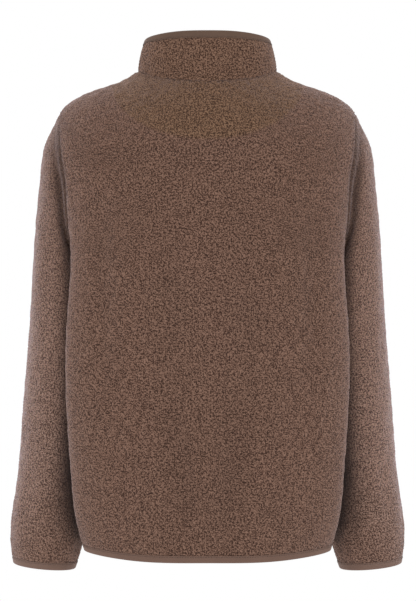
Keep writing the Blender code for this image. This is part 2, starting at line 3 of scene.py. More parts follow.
import bmesh
import bpy
import numpy as np
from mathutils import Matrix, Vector


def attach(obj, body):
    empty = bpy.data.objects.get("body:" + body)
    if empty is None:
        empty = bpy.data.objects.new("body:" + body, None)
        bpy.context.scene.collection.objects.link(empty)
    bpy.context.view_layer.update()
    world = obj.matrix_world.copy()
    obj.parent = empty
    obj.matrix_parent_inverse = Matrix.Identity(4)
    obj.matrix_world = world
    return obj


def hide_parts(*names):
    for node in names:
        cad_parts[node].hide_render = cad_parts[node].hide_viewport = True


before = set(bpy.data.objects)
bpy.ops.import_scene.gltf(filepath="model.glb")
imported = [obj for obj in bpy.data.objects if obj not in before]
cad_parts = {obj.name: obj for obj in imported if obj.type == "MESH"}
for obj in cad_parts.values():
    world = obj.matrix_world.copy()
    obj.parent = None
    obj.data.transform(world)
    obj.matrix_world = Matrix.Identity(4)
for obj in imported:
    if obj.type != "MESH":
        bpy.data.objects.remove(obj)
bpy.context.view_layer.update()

# The cut of the body: a back and two fronts.
# Each is one piece of borg fleece from the hem to the neck, 4 mm thick from its knitted back to
# the tips of its curls. They meet at the side seams, round the armholes and along the shoulders.
MM = 0.001
PILE_WALL = 0.004
TRIMMED_WALL = 0.0012
SEAM_GAP = 0.0003
ZIP_SLOT = 0.010
BINDING_HEIGHT = 0.0094
BINDING_FOLD = 0.0012
TRIMMED_END = BINDING_FOLD + SEAM_GAP
TRIMMED_START = BINDING_HEIGHT + SEAM_GAP
TRIM_SLOPE = 0.0018
PILE_START = TRIMMED_START + TRIM_SLOPE
INNER_STEP = 4
BACK_COLUMNS = 224
FRONT_COLUMNS = 112
BODY_ROWS = 192
ARMHOLE_ROWS = 132
SHOULDER_ROWS = 50

# Rings round the body. Each has the length of cloth up from the hem, then the x, y and z of
# seven places on the wearer's left: centre back, blade, back corner, side, front corner, bust
# and centre front.
BODY_RINGS_MM = {
    "hem": (0, (0, 112, -648), (88, 98, -648), (159, 47, -643.5), (163.5, -2, -641.5),
            (147, -68, -643.5), (80, -111, -648), (0, -121, -648)),
    "low hip": (40, (0, 116, -607), (92, 101, -607), (172, 49, -605), (165, -6, -604),
                (151, -71, -605), (84, -115, -607), (0, -125, -607)),
    "hip": (100, (0, 119, -547), (97, 102, -547), (181, 49, -546), (162, -9, -546),
            (152, -73, -546), (86, -118, -547), (0, -128, -547)),
    "waist": (190, (0, 115, -457), (99, 100, -457), (188, 48, -457), (159, -10, -457),
              (150, -74, -457), (86, -117, -457), (0, -127, -457)),
    "ribs": (270, (0, 112, -377), (99, 98, -377), (190, 47, -377), (157, -10, -377),
             (149, -74, -377), (86, -115, -377), (0, -124, -377)),
    "chest": (345, (0, 117, -302), (100, 101, -302), (186, 47, -302), (156, -10, -302),
              (149, -74, -302), (88, -118, -302), (0, -127, -302)),
    "underarm": (400, (0, 120, -243), (101, 104, -243), (183, 48, -245), (156, -10, -250),
                 (150, -74, -250), (89, -118, -250), (0, -127, -250)),
    "mid armhole": (495, (0, 118, -160), (99, 105, -158), (190, 49, -145), (200, -8, -138),
                    (167, -66, -150), (88, -110, -165), (0, -119, -175)),
    "shoulder tip": (590, (0, 107, -96), (87, 97, -93), (165, 62, -84), (200.7, 0, -47.7),
                     (157, -56, -89), (82, -99, -118), (0, -107, -142)),
    "outer shoulder": (622, (0, 99, -68), (72, 90, -64), (134, 63, -54), (172.5, 0, -25.5),
                       (133, -57, -62), (70, -91, -94), (0, -99, -119)),
    "inner shoulder": (662, (0, 84.5, -33), (51, 76, -29), (94, 53, -21), (120.5, 0, -7),
                       (95, -50, -31), (51, -77, -63), (0, -86, -89)),
    "neckline": (690, (0, 72, -13), (40, 63, -10), (76, 42, -2), (95, 0, 8),
                 (77, -42, -13), (41, -66, -47), (0, -76, -70)),
}

# The armhole is an oval in the rings' own measure, from the underarm to the shoulder tip.
UNDERARM_UP = 0.400
SHOULDER_TIP_UP = 0.590
NECKLINE_UP = 0.690
SIDE_COLUMN = 3.0
FRONT_COLUMN = 6.0
ARMHOLE_BACK = 0.95
ARMHOLE_FRONT = 0.98

# Soft folds: place at the top and at the foot, half width and depth, in millimetres.
BACK_FOLDS_MM = (
    # x at the top, x at the foot, z at the top, z at the foot, half width, depth
    (48, 24, -400, -632, 17, 6.5),
    (-45, -22, -415, -636, 22, 6.0),
    (46, 50, -170, -430, 18, 3.0),
    (-52, -52, -180, -430, 19, 3.0),
    (141, 137, -140, -460, 15, 3.5),
    (-142, -138, -140, -460, 15, 3.5),
)
FRONT_FOLDS_MM = (
    (60, 46, -300, -628, 19, 4.5),
    (-58, -48, -320, -634, 20, 4.5),
    (112, 118, -200, -470, 16, 3.5),
    (-115, -116, -190, -450, 16, 3.5),
)


def spline_weights(knots, places):
    """Weight of each knot's value in a natural cubic spline, a row for each place."""
    knots = np.asarray(knots, float)
    gaps = np.diff(knots)
    count = len(knots)
    bend = np.eye(count)
    load = np.zeros((count, count))
    for k in range(1, count - 1):
        before, after = gaps[k - 1], gaps[k]
        bend[k, k - 1:k + 2] = before, 2 * (before + after), after
        load[k, k - 1:k + 2] = 6 / before, -6 / before - 6 / after, 6 / after
    curving = np.linalg.solve(bend, load)
    span = np.clip(np.searchsorted(knots, places, side="right") - 1, 0, count - 2)
    ahead = ((places - knots[span]) / gaps[span])[:, None]
    behind = 1 - ahead
    scale = (gaps[span] ** 2 / 6)[:, None]
    flat = behind * np.eye(count)[span] + ahead * np.eye(count)[span + 1]
    curved = (behind ** 3 - behind) * curving[span] + (ahead ** 3 - ahead) * curving[span + 1]
    return flat + scale * curved


def ring_surface(rings, lengths, round_places, up_places):
    """Points of the smooth surface through the rings, at places round it and up it."""
    table = np.array([ring[1:] for ring in rings.values()], float) * MM
    last = table.shape[1] - 1
    wrapped = np.arange(-last - 3, last + 4)
    turns = (wrapped + last) % (2 * last) - last
    mirror = np.where(turns < 0, -1, 1)
    closed = table[:, np.abs(turns)]
    closed[:, :, 0] *= mirror
    across = spline_weights(wrapped, round_places)
    along = spline_weights(lengths, up_places)
    return np.einsum("pu,pv,vuc->pc", across, along, closed, optimize=True)


def smooth_step(share):
    share = np.clip(share, 0, 1)
    return share * share * (3 - 2 * share)


def bump(off, half_width):
    """1 in the middle of a soft bump, and less towards its sides."""
    return np.exp(-(off / half_width) ** 2)


def unit(ways):
    return ways / np.linalg.norm(ways, axis=-1, keepdims=True)


def smooth_body(round_places, up_places):
    lengths = [ring[0] * MM for ring in BODY_RINGS_MM.values()]
    return ring_surface(BODY_RINGS_MM, lengths, round_places, up_places)


def fold_depth(points, folds):
    """How far the soft folds sink the cloth at each point."""
    depth = np.zeros(points.shape[:-1])
    for top_x, foot_x, top, foot, half_width, deep in np.array(folds) * MM:
        down = np.clip((top - points[..., 2]) / (top - foot), 0, 1)
        off = points[..., 0] - (top_x + (foot_x - top_x) * down)
        depth += deep * np.sin(math.pi * down) * bump(off, half_width)
    return depth


def body(round_places, up_places):
    """The body's outer surface, with its soft folds."""
    points = smooth_body(round_places, up_places)
    step = 1e-3
    sideways = smooth_body(round_places + step, up_places) - smooth_body(round_places - step, up_places)
    upward = smooth_body(round_places, up_places + step) - smooth_body(round_places, up_places - step)
    behind = np.abs(round_places) < SIDE_COLUMN
    depth = np.where(behind, fold_depth(points, BACK_FOLDS_MM), fold_depth(points, FRONT_FOLDS_MM))
    depth *= np.clip(np.abs(np.abs(round_places) - SIDE_COLUMN), 0, 1)
    return points - unit(np.cross(upward, sideways)) * depth[:, None]


def on_grid(surface, round_places, up_places):
    """Points of a surface at a grid of places round it and up it."""
    ups = np.broadcast_to(up_places, round_places.shape)
    return surface(round_places.ravel(), ups.ravel()).reshape(*round_places.shape, 3)


def zip_edge(surface, up_places):
    """Where a surface, followed round to the front, is half the zip's slot from the middle."""
    near = FRONT_COLUMN - 0.1
    slope = surface(np.full(len(up_places), near), up_places)[:, 0] / (FRONT_COLUMN - near)
    return FRONT_COLUMN - ZIP_SLOT / 2 / slope


def body_rows():
    """For each row of the body: the armhole's reach to the back and front, and two lengths up."""
    trimmed = np.array([TRIMMED_END, TRIMMED_START])
    lower = np.linspace(PILE_START, UNDERARM_UP, BODY_ROWS + 1)[:-1]
    plain = np.concatenate([trimmed, lower])
    share = np.arange(ARMHOLE_ROWS + 1) / ARMHOLE_ROWS
    turn = math.pi * share
    height = SHOULDER_TIP_UP - UNDERARM_UP
    edge_up = UNDERARM_UP + height * (1 - np.cos(turn)) / 2
    upper = np.linspace(SHOULDER_TIP_UP, NECKLINE_UP, SHOULDER_ROWS + 1)[1:]
    none_below, none_above = np.zeros(len(plain)), np.zeros(len(upper))
    back = np.concatenate([none_below, ARMHOLE_BACK * np.sin(turn), none_above])
    front = np.concatenate([none_below, ARMHOLE_FRONT * np.sin(turn), none_above])
    edge = np.concatenate([plain, edge_up, upper])
    middle = np.concatenate([plain, UNDERARM_UP + height * share, upper])
    return np.column_stack([back, front, edge, middle])


def back_grid():
    """Points of the back, in rows up from the hem."""
    across = np.linspace(-1, 1, BACK_COLUMNS + 1)
    back, _, edge_up, middle_up = body_rows().T[:, :, None]
    round_places = (SIDE_COLUMN - back) * across
    up_places = middle_up + (edge_up - middle_up) * across ** 2
    return on_grid(body, round_places, up_places)


def front_grid(side):
    """One front, from its side seam round to the zip; side is 1 for the wearer's left."""
    across = np.linspace(0, 1, FRONT_COLUMNS + 1)
    _, front, edge_up, middle_up = body_rows().T[:, :, None]
    up_places = middle_up + (edge_up - middle_up) * (1 - across) ** 2
    start = SIDE_COLUMN + front
    end = zip_edge(smooth_body, middle_up[:, 0])[:, None]
    round_places = side * (start + (end - start) * across)
    return on_grid(body, round_places, up_places)[:, ::side]


back = back_grid()
front_left = front_grid(1)
front_right = front_grid(-1)
up_from_hem = body_rows()[:, 3]

# The cut of the stand collar.
# One band of the same borg, sewn to the whole neckline. It leans in a little towards its top,
# and its two ends meet the zip.
COLLAR_ROWS = 30
COLLAR_RINGS_MM = {
    "neckline": BODY_RINGS_MM["neckline"],
    "middle": (0.5, (0, 70, 19), (39.5, 61.5, 20), (74.5, 41.5, 23), (92.5, 0, 26),
               (74, -42.5, 7), (40.5, -66.5, -18), (0, -79, -36)),
    "top": (1, (0, 67, 54.5), (38.5, 59, 54.5), (71.5, 39.5, 52), (86.5, 0, 47),
            (71, -42, 30), (39.5, -67, 10), (0, -79, -2)),
}


def smooth_collar(round_places, up_places):
    return ring_surface(COLLAR_RINGS_MM, (0.0, 0.5, 1.0), round_places, up_places)


def collar_grid(neck_row):
    """Points of the collar in rows up from the neckline, and each row's distance from the top."""
    ends = smooth_collar(np.zeros(2), np.array([0.0, 1.0]))
    height = np.linalg.norm(ends[1] - ends[0])
    bound = [1 - below / height for below in (PILE_START, TRIMMED_START, TRIMMED_END)]
    ups = np.concatenate([np.linspace(0, bound[0], COLLAR_ROWS + 1), bound[1:]])
    behind = SIDE_COLUMN * np.linspace(-1, 1, BACK_COLUMNS + 1)
    across = np.linspace(0, 1, FRONT_COLUMNS + 1)[1:]
    ahead = SIDE_COLUMN + (zip_edge(smooth_collar, ups)[:, None] - SIDE_COLUMN) * across
    round_places = np.column_stack([-ahead[:, ::-1], np.tile(behind, (len(ups), 1)), ahead])
    grid = on_grid(smooth_collar, round_places, ups[:, None])
    grid[0] = neck_row
    return grid, height * (1 - ups)


neck_row = np.concatenate([front_right[-1], back[-1, 1:-1], front_left[-1]])
collar, collar_from_top = collar_grid(neck_row)

# The cut of the sleeves.
# Each is set into its armhole and hangs as a wide, slightly flattened tube down to the cuff, with
# its seam under the arm. Its rings lie as the photograph shows them, and soft folds run down it.
SLEEVE_ROWS = 298
SLEEVE_RINGS_MM = (
    # outer x, outer z, inner x, inner z, middle y, half depth, share of the armhole's own shape
    (212, -68, 160.5, -257, -20, 60, 0.95),
    (222.5, -90, 161, -263, -25, 63, 0.80),
    (230, -132, 161, -273, -30, 66, 0.50),
    (236.5, -192, 160.5, -291, -33, 67, 0.25),
    (241.5, -262, 160.5, -321, -35, 66, 0.10),
    (248, -360, 161.5, -390, -36, 62, 0),
    (256.5, -460, 164.5, -475, -39, 57, 0),
    (265.5, -560, 168.5, -567, -43, 53, 0),
    (274, -638, 172.5, -643, -47, 51, 0),
    (270, -669, 183.5, -677.5, -47, 44, 0),
)
SLEEVE_FOLDS_MM = (
    # angle from the outer side to the back, start, end, half width in degrees, depth or ridge
    (42, 70, 330, 15, -1.6),
    (75, 90, 380, 18, 2.0),
    (300, 240, 420, 24, 3.0),
    (215, 280, 460, 22, 2.5),
    (58, 470, 585, 11, 1.8),
    (118, 505, 600, 13, 1.6),
    (20, 540, 608, 9, 1.3),
    (150, 340, 430, 12, 1.6),
    (255, 500, 600, 15, 1.7),
    (330, 480, 590, 12, 1.5),
    (270, 150, 250, 16, 1.6),
)
# A valley behind the armhole seam, where the sleeve head drops away from the shoulder.
VALLEY_DEPTH = 0.0060
VALLEY_FROM_SEAM = 0.016
VALLEY_HALF_WIDTH = 0.011
VALLEY_ANGLE = 78
VALLEY_HALF_ANGLE = 55
# The body's side, from the hem up: next to it little light reaches the sleeve, and the sleeve's
# colour gets painted shade. Towards the front the body is narrower by this much, from one y in
# millimetres and over the next ones.
FRONT_NARROWER = 38
NARROWER_FROM = -20
NARROWER_OVER = 40
BODY_SIDE_MM = (
    # z and x of the side, how far the painted shade reaches from it, and its strength
    (-660, 160, 16, 0.7),
    (-605, 174, 21, 1.2),
    (-546, 183, 17, 1.2),
    (-457, 187, 10, 0.65),
    (-377, 189, 8, 0.5),
    (-302, 188, 8, 0.45),
    (-245, 190, 7, 0.3),
    (-200, 196, 7, 0.5),
    (-145, 200, 8, 0.75),
    (-90, 203, 8, 0.75),
    (-50, 205, 7, 0.2),
    (-30, 206, 6, 0.0),
)


def oval(outer, inner, middle_y, half_depth, turns):
    """An oval ring between two points in x and z. Turns run from the outer one over the back."""
    middle = (np.array(outer) + inner) / 2
    reach = (np.array(outer) - inner) / 2
    ring = np.empty((len(turns), 3))
    ring[:, 0] = middle[0] + np.cos(turns) * reach[0]
    ring[:, 1] = middle_y + np.sin(turns) * half_depth
    ring[:, 2] = middle[1] + np.cos(turns) * reach[1]
    return ring


def sleeve_rings(armhole, turns):
    """The sleeve's rings in order, the first of which is the loop of the armhole itself."""
    underarm = armhole[len(armhole) // 2]
    lowest_y, highest_y = armhole[:, 1].min(), armhole[:, 1].max()
    plain = oval(armhole[0, ::2], underarm[::2], (lowest_y + highest_y) / 2,
                 (highest_y - lowest_y) / 2, turns)
    rings = [armhole]
    for outer_x, outer_z, inner_x, inner_z, middle_y, half_depth, kept in SLEEVE_RINGS_MM:
        ring = oval((outer_x * MM, outer_z * MM), (inner_x * MM, inner_z * MM), middle_y * MM,
                    half_depth * MM, turns)
        rings.append(ring + kept * (armhole - plain))
    return np.array(rings)


def steps(points, axis=0):
    """Distance from each point of a line or grid to the next one along an axis."""
    return np.linalg.norm(np.diff(points, axis=axis), axis=-1)


def lengths_along(line):
    """Each point's length along a line of points."""
    return np.concatenate([[0], np.cumsum(steps(line))])


def degrees_from(turns, angle):
    return (np.degrees(turns) - angle + 180) % 360 - 180


def sleeve_grid(armhole):
    """The left sleeve in rows down from the armhole, each row's distance from the cuff, and how
    much painted shade each point gets, from 0 up."""
    turns = 2 * math.pi * np.arange(len(armhole)) / len(armhole)
    rings = sleeve_rings(armhole, turns)
    knots = lengths_along(np.concatenate([armhole[:1, ::2], np.array(SLEEVE_RINGS_MM)[:, :2] * MM]))
    end = knots[-1]
    pile = np.linspace(0, end - PILE_START, SLEEVE_ROWS + 1)
    lengths = np.concatenate([pile, [end - TRIMMED_START, end - TRIMMED_END]])
    grid = np.einsum("rk,kpc->rpc", spline_weights(knots, lengths), rings, optimize=True)
    outward = unit(grid - grid.mean(axis=1, keepdims=True))
    for angle, start, stop, half_width, deep in SLEEVE_FOLDS_MM:
        down = np.clip((lengths - start * MM) / ((stop - start) * MM), 0, 1)
        across = bump(degrees_from(turns, angle), half_width)
        depth = np.outer(np.sin(math.pi * down), across) * deep * MM
        grid -= outward * depth[:, :, None]
    down = bump(lengths - VALLEY_FROM_SEAM, VALLEY_HALF_WIDTH) * np.clip(lengths / VALLEY_FROM_SEAM, 0, 1)
    across = bump(degrees_from(turns, VALLEY_ANGLE), VALLEY_HALF_ANGLE)
    grid -= outward * (np.outer(down, across) * VALLEY_DEPTH)[:, :, None]
    return grid, end - lengths, beside_body(grid)


def beside_body(grid):
    """How much painted shade the sleeve gets next to the body's side, from 0 up."""
    heights, sides, reaches, strengths = np.array(BODY_SIDE_MM).T
    across, deep, places = grid.transpose(2, 0, 1) / MM
    side = np.interp(places, heights, sides)
    side -= FRONT_NARROWER * smooth_step((NARROWER_FROM - deep) / NARROWER_OVER)
    near = bump(np.clip(across - side, 0, None), np.interp(places, heights, reaches))
    return near * np.interp(places, heights, strengths)


armhole_rows = slice(BODY_ROWS + 2, BODY_ROWS + ARMHOLE_ROWS + 3)
left_loop = np.concatenate([back[armhole_rows, -1][::-1], front_left[armhole_rows, 0][1:-1]])
right_loop = np.concatenate([back[armhole_rows, 0][::-1], front_right[armhole_rows, -1][1:-1]])
# Each sleeve also gets the painted shade of its colour next to the body.
sleeve_left, sleeve_from_cuff, painted_shade_left = sleeve_grid(left_loop)
right_as_left, _, painted_shade_right = sleeve_grid(right_loop * (-1, 1, 1))
sleeve_right = right_as_left[:, ::-1] * (-1, 1, 1)
painted_shade_right = painted_shade_right[:, ::-1]

# The borg itself, sewn together.
# Curled polyester pile stands in small uneven nubs; the darker partings between them are painted
# shade and their lighter tips a painted highlight. It closes over the seams, which show only as
# soft grooves darkened with painted shade. Inside is the smooth knitted back.
NUB_DEPTH = 0.0011
NUB_SPACING = 0.0044
NUB_WAVES = 40
NUB_STEEPNESS = 1.3
TUFT_DEPTH = 0.0006
TUFT_SPACING = 0.026
TUFT_WAVES = 24
WAVE_SPREAD = (0.85, 1.18)
GROOVE_DEPTH = 0.0012
GROOVE_HALF_WIDTH = 0.0032
LIP_DEPTH = 0.0012
LIP_WIDTH = 0.004
TRIM_DEPTH = (PILE_WALL - TRIMMED_WALL) / 2
PILE_BROWN = (0.123, 0.065, 0.045, 1.0)
# The partings' darker brown is painted shade, the tips' lighter brown a painted highlight, and the last one
# the brown of painted shade mixed in where the mesh carries it.
PARTING_SHADE_BROWN = (0.044, 0.022, 0.015, 1.0)
LIT_TIP_BROWN = (0.240, 0.140, 0.101, 1.0)
SHADE_BROWN = (0.022, 0.012, 0.009, 1.0)
MOON_TINT = (1.0, 1.0, 0.85, 1.0)
COLLAR_TINT = (1.0, 1.0, 0.93, 1.0)
SHEEN_TINT = (1.0, 0.76, 0.72, 1.0)
SHEEN_ROUGHNESS = 0.45
KNIT_BROWN = (0.165, 0.098, 0.074, 1.0)
KNIT_DARK = (0.085, 0.048, 0.036, 1.0)
WALE_SPACING = 0.0014
WALE_TURN = 0.6
BRUSH_SPACING = 0.0030
# Blender's bands lie this far apart at a scale of 1.
BANDS_APART = math.pi / 10
CURL_SPACING = 0.0021
CURL_REACH = 1.15
CURL_DRIFT = 0.0045
CURL_WARP = 0.0012
WORM_SPACING = 0.0027
WORM_SHARPNESS = 6.0
FIBRE_SPACING = 0.0012
PATCH_SPACING = 0.045
PATCH_STRENGTH = 0.03
# Shares of the curl's height that its cells, its worms and its fibres have, and of the pile's
# height that the curl has beside the nubs.
CELL_SHARE, WORM_SHARE, FIBRE_SHARE = 0.5, 0.3, 0.3
CURL_SHARE = 0.85
# Heights at which the brown of the pile, over the painted shade of its partings, and the painted highlight
# of its tips begin and are full.
PILE_STEP = (0.33, 0.55)
TIP_STEP = (0.49, 0.73)
KNIT_STEP = (0.2, 0.7)
# Depth and strength of the fine relief in a finish.
CURL_RELIEF = (0.0010, 0.8)
KNIT_RELIEF = (0.0005, 0.6)
# Painted shade in the pile's colour: the most of the shade brown mixed in, how much per metre of fold
# depth, and its width, strength and top beside the sleeve and along the armhole, faded over the last
# distance.
PAINTED_SHADE_MIX = 0.8
FOLD_SHADE = 0.16 / 0.006
BESIDE_WIDTH = 0.075
BESIDE_SHADE = 0.8
BESIDE_TOP = UNDERARM_UP + 0.02
ARMHOLE_SHADE = 0.6
ARMHOLE_SHADE_WIDTH = 0.007
SHADE_FADE = 0.05
MOON_HALF_WIDTH = 0.129
MOON_TOP = -0.010
MOON_DROP = 0.0835
MOON_EDGE = 0.004
# Panels are sewn to each other where their points agree to this much.
SAME_POINT = 1e-6


class Value:
    """One output in a material's nodes. Sums and products of such values add Math nodes."""

    def __init__(self, tree, socket):
        self.tree = tree
        self.socket = socket

    def node(self, kind, settings, inputs, output=0):
        """Add a node of this kind, with its settings and then its inputs, and give an output."""
        made = self.tree.nodes.new(kind)
        for name, setting in settings.items():
            setattr(made, name, setting)
        for name, value in inputs.items():
            if isinstance(value, Value):
                self.tree.links.new(value.socket, made.inputs[name])
            else:
                made.inputs[name].default_value = value
        return Value(self.tree, made.outputs[output])

    def maths(self, operation, first, second):
        return self.node("ShaderNodeMath", {"operation": operation}, {0: first, 1: second})

    def __add__(self, other):
        return self.maths("ADD", self, other)

    def __sub__(self, other):
        return self.maths("SUBTRACT", self, other)

    def __rsub__(self, other):
        return self.maths("SUBTRACT", other, self)

    def __mul__(self, other):
        return self.maths("MULTIPLY", self, other)

    def __truediv__(self, other):
        return self.maths("DIVIDE", self, other)

    def __pow__(self, other):
        return self.maths("POWER", self, other)

    def __abs__(self):
        return self.maths("ABSOLUTE", self, 0.0)

    __radd__ = __add__
    __rmul__ = __mul__

    def blend(self, other, share):
        """This share of the value and the rest of another one."""
        return self * share + other * (1 - share)

    def ramp(self, low, high):
        """A smooth step from 0 at the low value to 1 at the high one."""
        settings = {"interpolation_type": "SMOOTHSTEP"}
        return self.node("ShaderNodeMapRange", settings, {"Value": self, "From Min": low, "From Max": high})

    def mix(self, first, second, blend="MIX"):
        """A colour between two, as this value goes from 0 to 1."""
        settings = {"data_type": "RGBA", "blend_type": blend}
        return self.node("ShaderNodeMix", settings, {0: self, 6: first, 7: second}, output=2)

    def vector(self, operation, inputs):
        """Vector Math on these coordinates."""
        return self.node("ShaderNodeVectorMath", {"operation": operation}, {0: self, **inputs})

    def noise(self, spacing, detail=2.0, output=0, dimensions="3D"):
        """Blender's noise at these coordinates, with features about this far apart."""
        sockets = {"Vector": self, "Scale": 1 / spacing, "Detail": detail}
        return self.node("ShaderNodeTexNoise", {"noise_dimensions": dimensions}, sockets, output)

    def ribs(self, direction, spacing, distortion):
        """Blender's bands across these coordinates, this far apart."""
        bands = {"wave_type": "BANDS", "bands_direction": direction}
        sockets = {"Vector": self, "Scale": BANDS_APART / spacing, "Distortion": distortion,
                   "Detail": 1.0}
        return self.node("ShaderNodeTexWave", bands, sockets, output=1)

    def carried(self, name):
        """A number that the mesh carries at each of its points."""
        return self.node("ShaderNodeAttribute", {"attribute_name": name}, {}, output=2)

    def cloth(self):
        """Places on the cloth laid flat."""
        return self.node("ShaderNodeUVMap", {"uv_map": "cloth"}, {})


def new_finish(name, roughness, sheen=0.0, specular=0.3):
    """A material, its shader, and the object's coordinates to build the finish from."""
    finish = bpy.data.materials.new(name)
    finish.use_nodes = True
    tree = finish.node_tree
    shader = tree.nodes["Principled BSDF"]
    values = {"Roughness": roughness, "Sheen Weight": sheen, "Sheen Roughness": SHEEN_ROUGHNESS,
              "Sheen Tint": SHEEN_TINT, "Specular IOR Level": specular}
    for socket, value in values.items():
        shader.inputs[socket].default_value = value
    coordinates = tree.nodes.new("ShaderNodeTexCoord")
    return finish, shader, Value(tree, coordinates.outputs["Object"])


def feed(shader, name, value):
    value.tree.links.new(value.socket, shader.inputs[name])


def raise_surface(shader, height, distance, strength):
    """Let a height, from 0 to 1, turn the shader's normal."""
    sockets = {"Height": height, "Distance": distance, "Strength": strength}
    feed(shader, "Normal", height.node("ShaderNodeBump", {}, sockets))


def half_moon(place):
    """1 over the half-moon at the back of the neck, where the brown is a little warmer."""
    x, z = [place.node("ShaderNodeSeparateXYZ", {}, {"Vector": place}, axis) for axis in (0, 2)]
    across = x / MOON_HALF_WIDTH
    left = place.node("ShaderNodeClamp", {}, {"Value": 1.0 - across * across})
    loop = MOON_TOP - MOON_DROP * left ** 0.5
    return (z - loop).ramp(-MOON_EDGE, MOON_EDGE)


def borg_finish(name, tint=None):
    """Curled pile: nubs over a darker ground, which is painted shade, with a painted highlight on
    their tips, painted shade where the mesh carries it, and from the half-moon at the neck upwards a tint.
    """
    finish, shader, place = new_finish(name, roughness=0.95, sheen=0.38, specular=0.12)
    cloth = place.cloth()
    drift = cloth.noise(CURL_DRIFT, detail=1.0, output=1, dimensions="2D")
    drift = drift.vector("SUBTRACT", {1: (0.5, 0.5, 0.5)})
    warped = cloth.vector("ADD", {1: drift.vector("SCALE", {"Scale": 2 * CURL_WARP})})
    cells = {"Vector": warped, "Scale": 1 / CURL_SPACING, "Randomness": 1.0}
    cell = 1.0 - cloth.node("ShaderNodeTexVoronoi", {"voronoi_dimensions": "2D"}, cells) * CURL_REACH
    level = warped.noise(WORM_SPACING, detail=1.0, dimensions="2D") * WORM_SHARPNESS - WORM_SHARPNESS / 2
    fibres = cloth.noise(FIBRE_SPACING, dimensions="2D")
    curl = cell * CELL_SHARE + (1.0 - abs(level)) * WORM_SHARE + fibres * FIBRE_SHARE
    patch = (place.noise(PATCH_SPACING) - 0.5) * PATCH_STRENGTH
    shade = curl.blend(place.carried("pile_height"), CURL_SHARE) + patch
    # Lower in the partings and the seam grooves the pile gets painted shade; higher on its tips, a painted
    # highlight.
    pile = shade.ramp(*PILE_STEP).mix(PARTING_SHADE_BROWN, PILE_BROWN)
    colour = shade.ramp(*TIP_STEP).mix(pile, LIT_TIP_BROWN)
    if tint:
        colour = half_moon(place).mix(colour, tint, blend="MULTIPLY")
    # Painted shade that the mesh carries darkens the colour towards the shade brown.
    colour = (place.carried("painted_shade") * PAINTED_SHADE_MIX).mix(colour, SHADE_BROWN)
    feed(shader, "Base Color", colour)
    raise_surface(shader, curl, *CURL_RELIEF)
    return finish


def knit_finish():
    """The knitted back of the fleece: fine upright wales, brushed a little."""
    finish, shader, place = new_finish("knitted_back", roughness=0.9, sheen=0.25, specular=0.15)
    sockets = {"Vector": place, "Angle": WALE_TURN}
    turned = place.node("ShaderNodeVectorRotate", {"rotation_type": "Z_AXIS"}, sockets)
    height = turned.ribs("X", WALE_SPACING, 1.2).blend(place.noise(BRUSH_SPACING, detail=3.0), 0.5)
    feed(shader, "Base Color", height.ramp(*KNIT_STEP).mix(KNIT_DARK, KNIT_BROWN))
    raise_surface(shader, height, *KNIT_RELIEF)
    return finish


def waves(flat, spacing, count, seed):
    """Smooth uneven bumps about this far apart: plane waves in many directions, added up."""
    chance = np.random.default_rng(seed)
    angles = chance.uniform(0, math.pi, count)
    steepness = 2 * math.pi / spacing * chance.uniform(*WAVE_SPREAD, count)
    total = np.zeros(flat.shape[:2])
    for angle, steep, start in zip(angles, steepness, chance.uniform(0, 2 * math.pi, count)):
        total += np.cos(steep * (flat @ (math.cos(angle), math.sin(angle))) + start)
    return total * math.sqrt(2 / count)


def joined(points, tube, axis=1):
    """Points, or their numbers, with the first repeated at the end where they go round a tube."""
    return np.concatenate([points, np.take(points, [0], axis)], axis) if tube else points


def laid_flat(grid, tube):
    """Each point's place on the cloth laid flat: along its row, and along its column. A tube's
    columns are measured from its last row, which is level."""
    round_it = joined(grid, tube)
    across = np.cumsum(steps(round_it, 1), axis=1)
    along = np.cumsum(steps(round_it, 0), axis=0)
    flat = np.zeros(round_it.shape[:2] + (2,))
    flat[:, 1:, 0] = across
    flat[1:, :, 1] = along
    flat[:, :, 0] -= across[:, across.shape[1] // 2, None]
    if tube:
        flat[:, :, 1] -= along[-1]
    return flat


def grid_corners(grid):
    """For each face between the rows and columns of a grid, what the grid holds at its corners."""
    corners = np.stack([grid[:-1, :-1], grid[1:, :-1], grid[1:, 1:], grid[:-1, 1:]], axis=2)
    return corners.reshape(-1, 4, *grid.shape[2:])


def sewn_normals(grids, tubes):
    """Outward normals of the sewn cloth, the same for every panel that meets at a point."""
    points = np.concatenate([grid.reshape(-1, 3) for grid in grids])
    rounded = np.round(points / SAME_POINT).astype(np.int64)
    shared = np.unique(rounded, axis=0, return_inverse=True)[1].ravel()
    quads = []
    start = 0
    for grid, tube in zip(grids, tubes):
        ids = start + np.arange(grid.size // 3).reshape(grid.shape[:2])
        start += ids.size
        quads.append(grid_corners(joined(ids, tube)))
    quads = np.concatenate(quads)
    corners = points[quads]
    faces = np.cross(corners[:, 2] - corners[:, 0], corners[:, 3] - corners[:, 1])
    owners = shared[quads].ravel()
    weights = np.repeat(faces, 4, axis=0)
    summed = unit(np.column_stack([np.bincount(owners, weights[:, k], shared.max() + 1) for k in range(3)]))
    cuts = np.cumsum([grid.size // 3 for grid in grids])[:-1]
    return [part.reshape(grid.shape) for part, grid in zip(np.split(summed[shared], cuts), grids)]


def rim(fine, coarse, step):
    """Faces that join a fine edge to a coarse one with every step-th of its points."""
    blocks = (len(fine) - 1) // step
    points = [fine[k:k + step * (blocks - 1) + 1:step] for k in range(step + 1)]
    middle = (step + 1) // 2
    near, far = coarse[:-1], coarse[1:]
    faces = [np.column_stack([points[k + 1], points[k], near]) for k in range(middle)]
    faces.append(np.column_stack([points[middle], near, far]))
    faces += [np.column_stack([points[k + 1], points[k], far]) for k in range(middle, step)]
    return np.concatenate(faces)


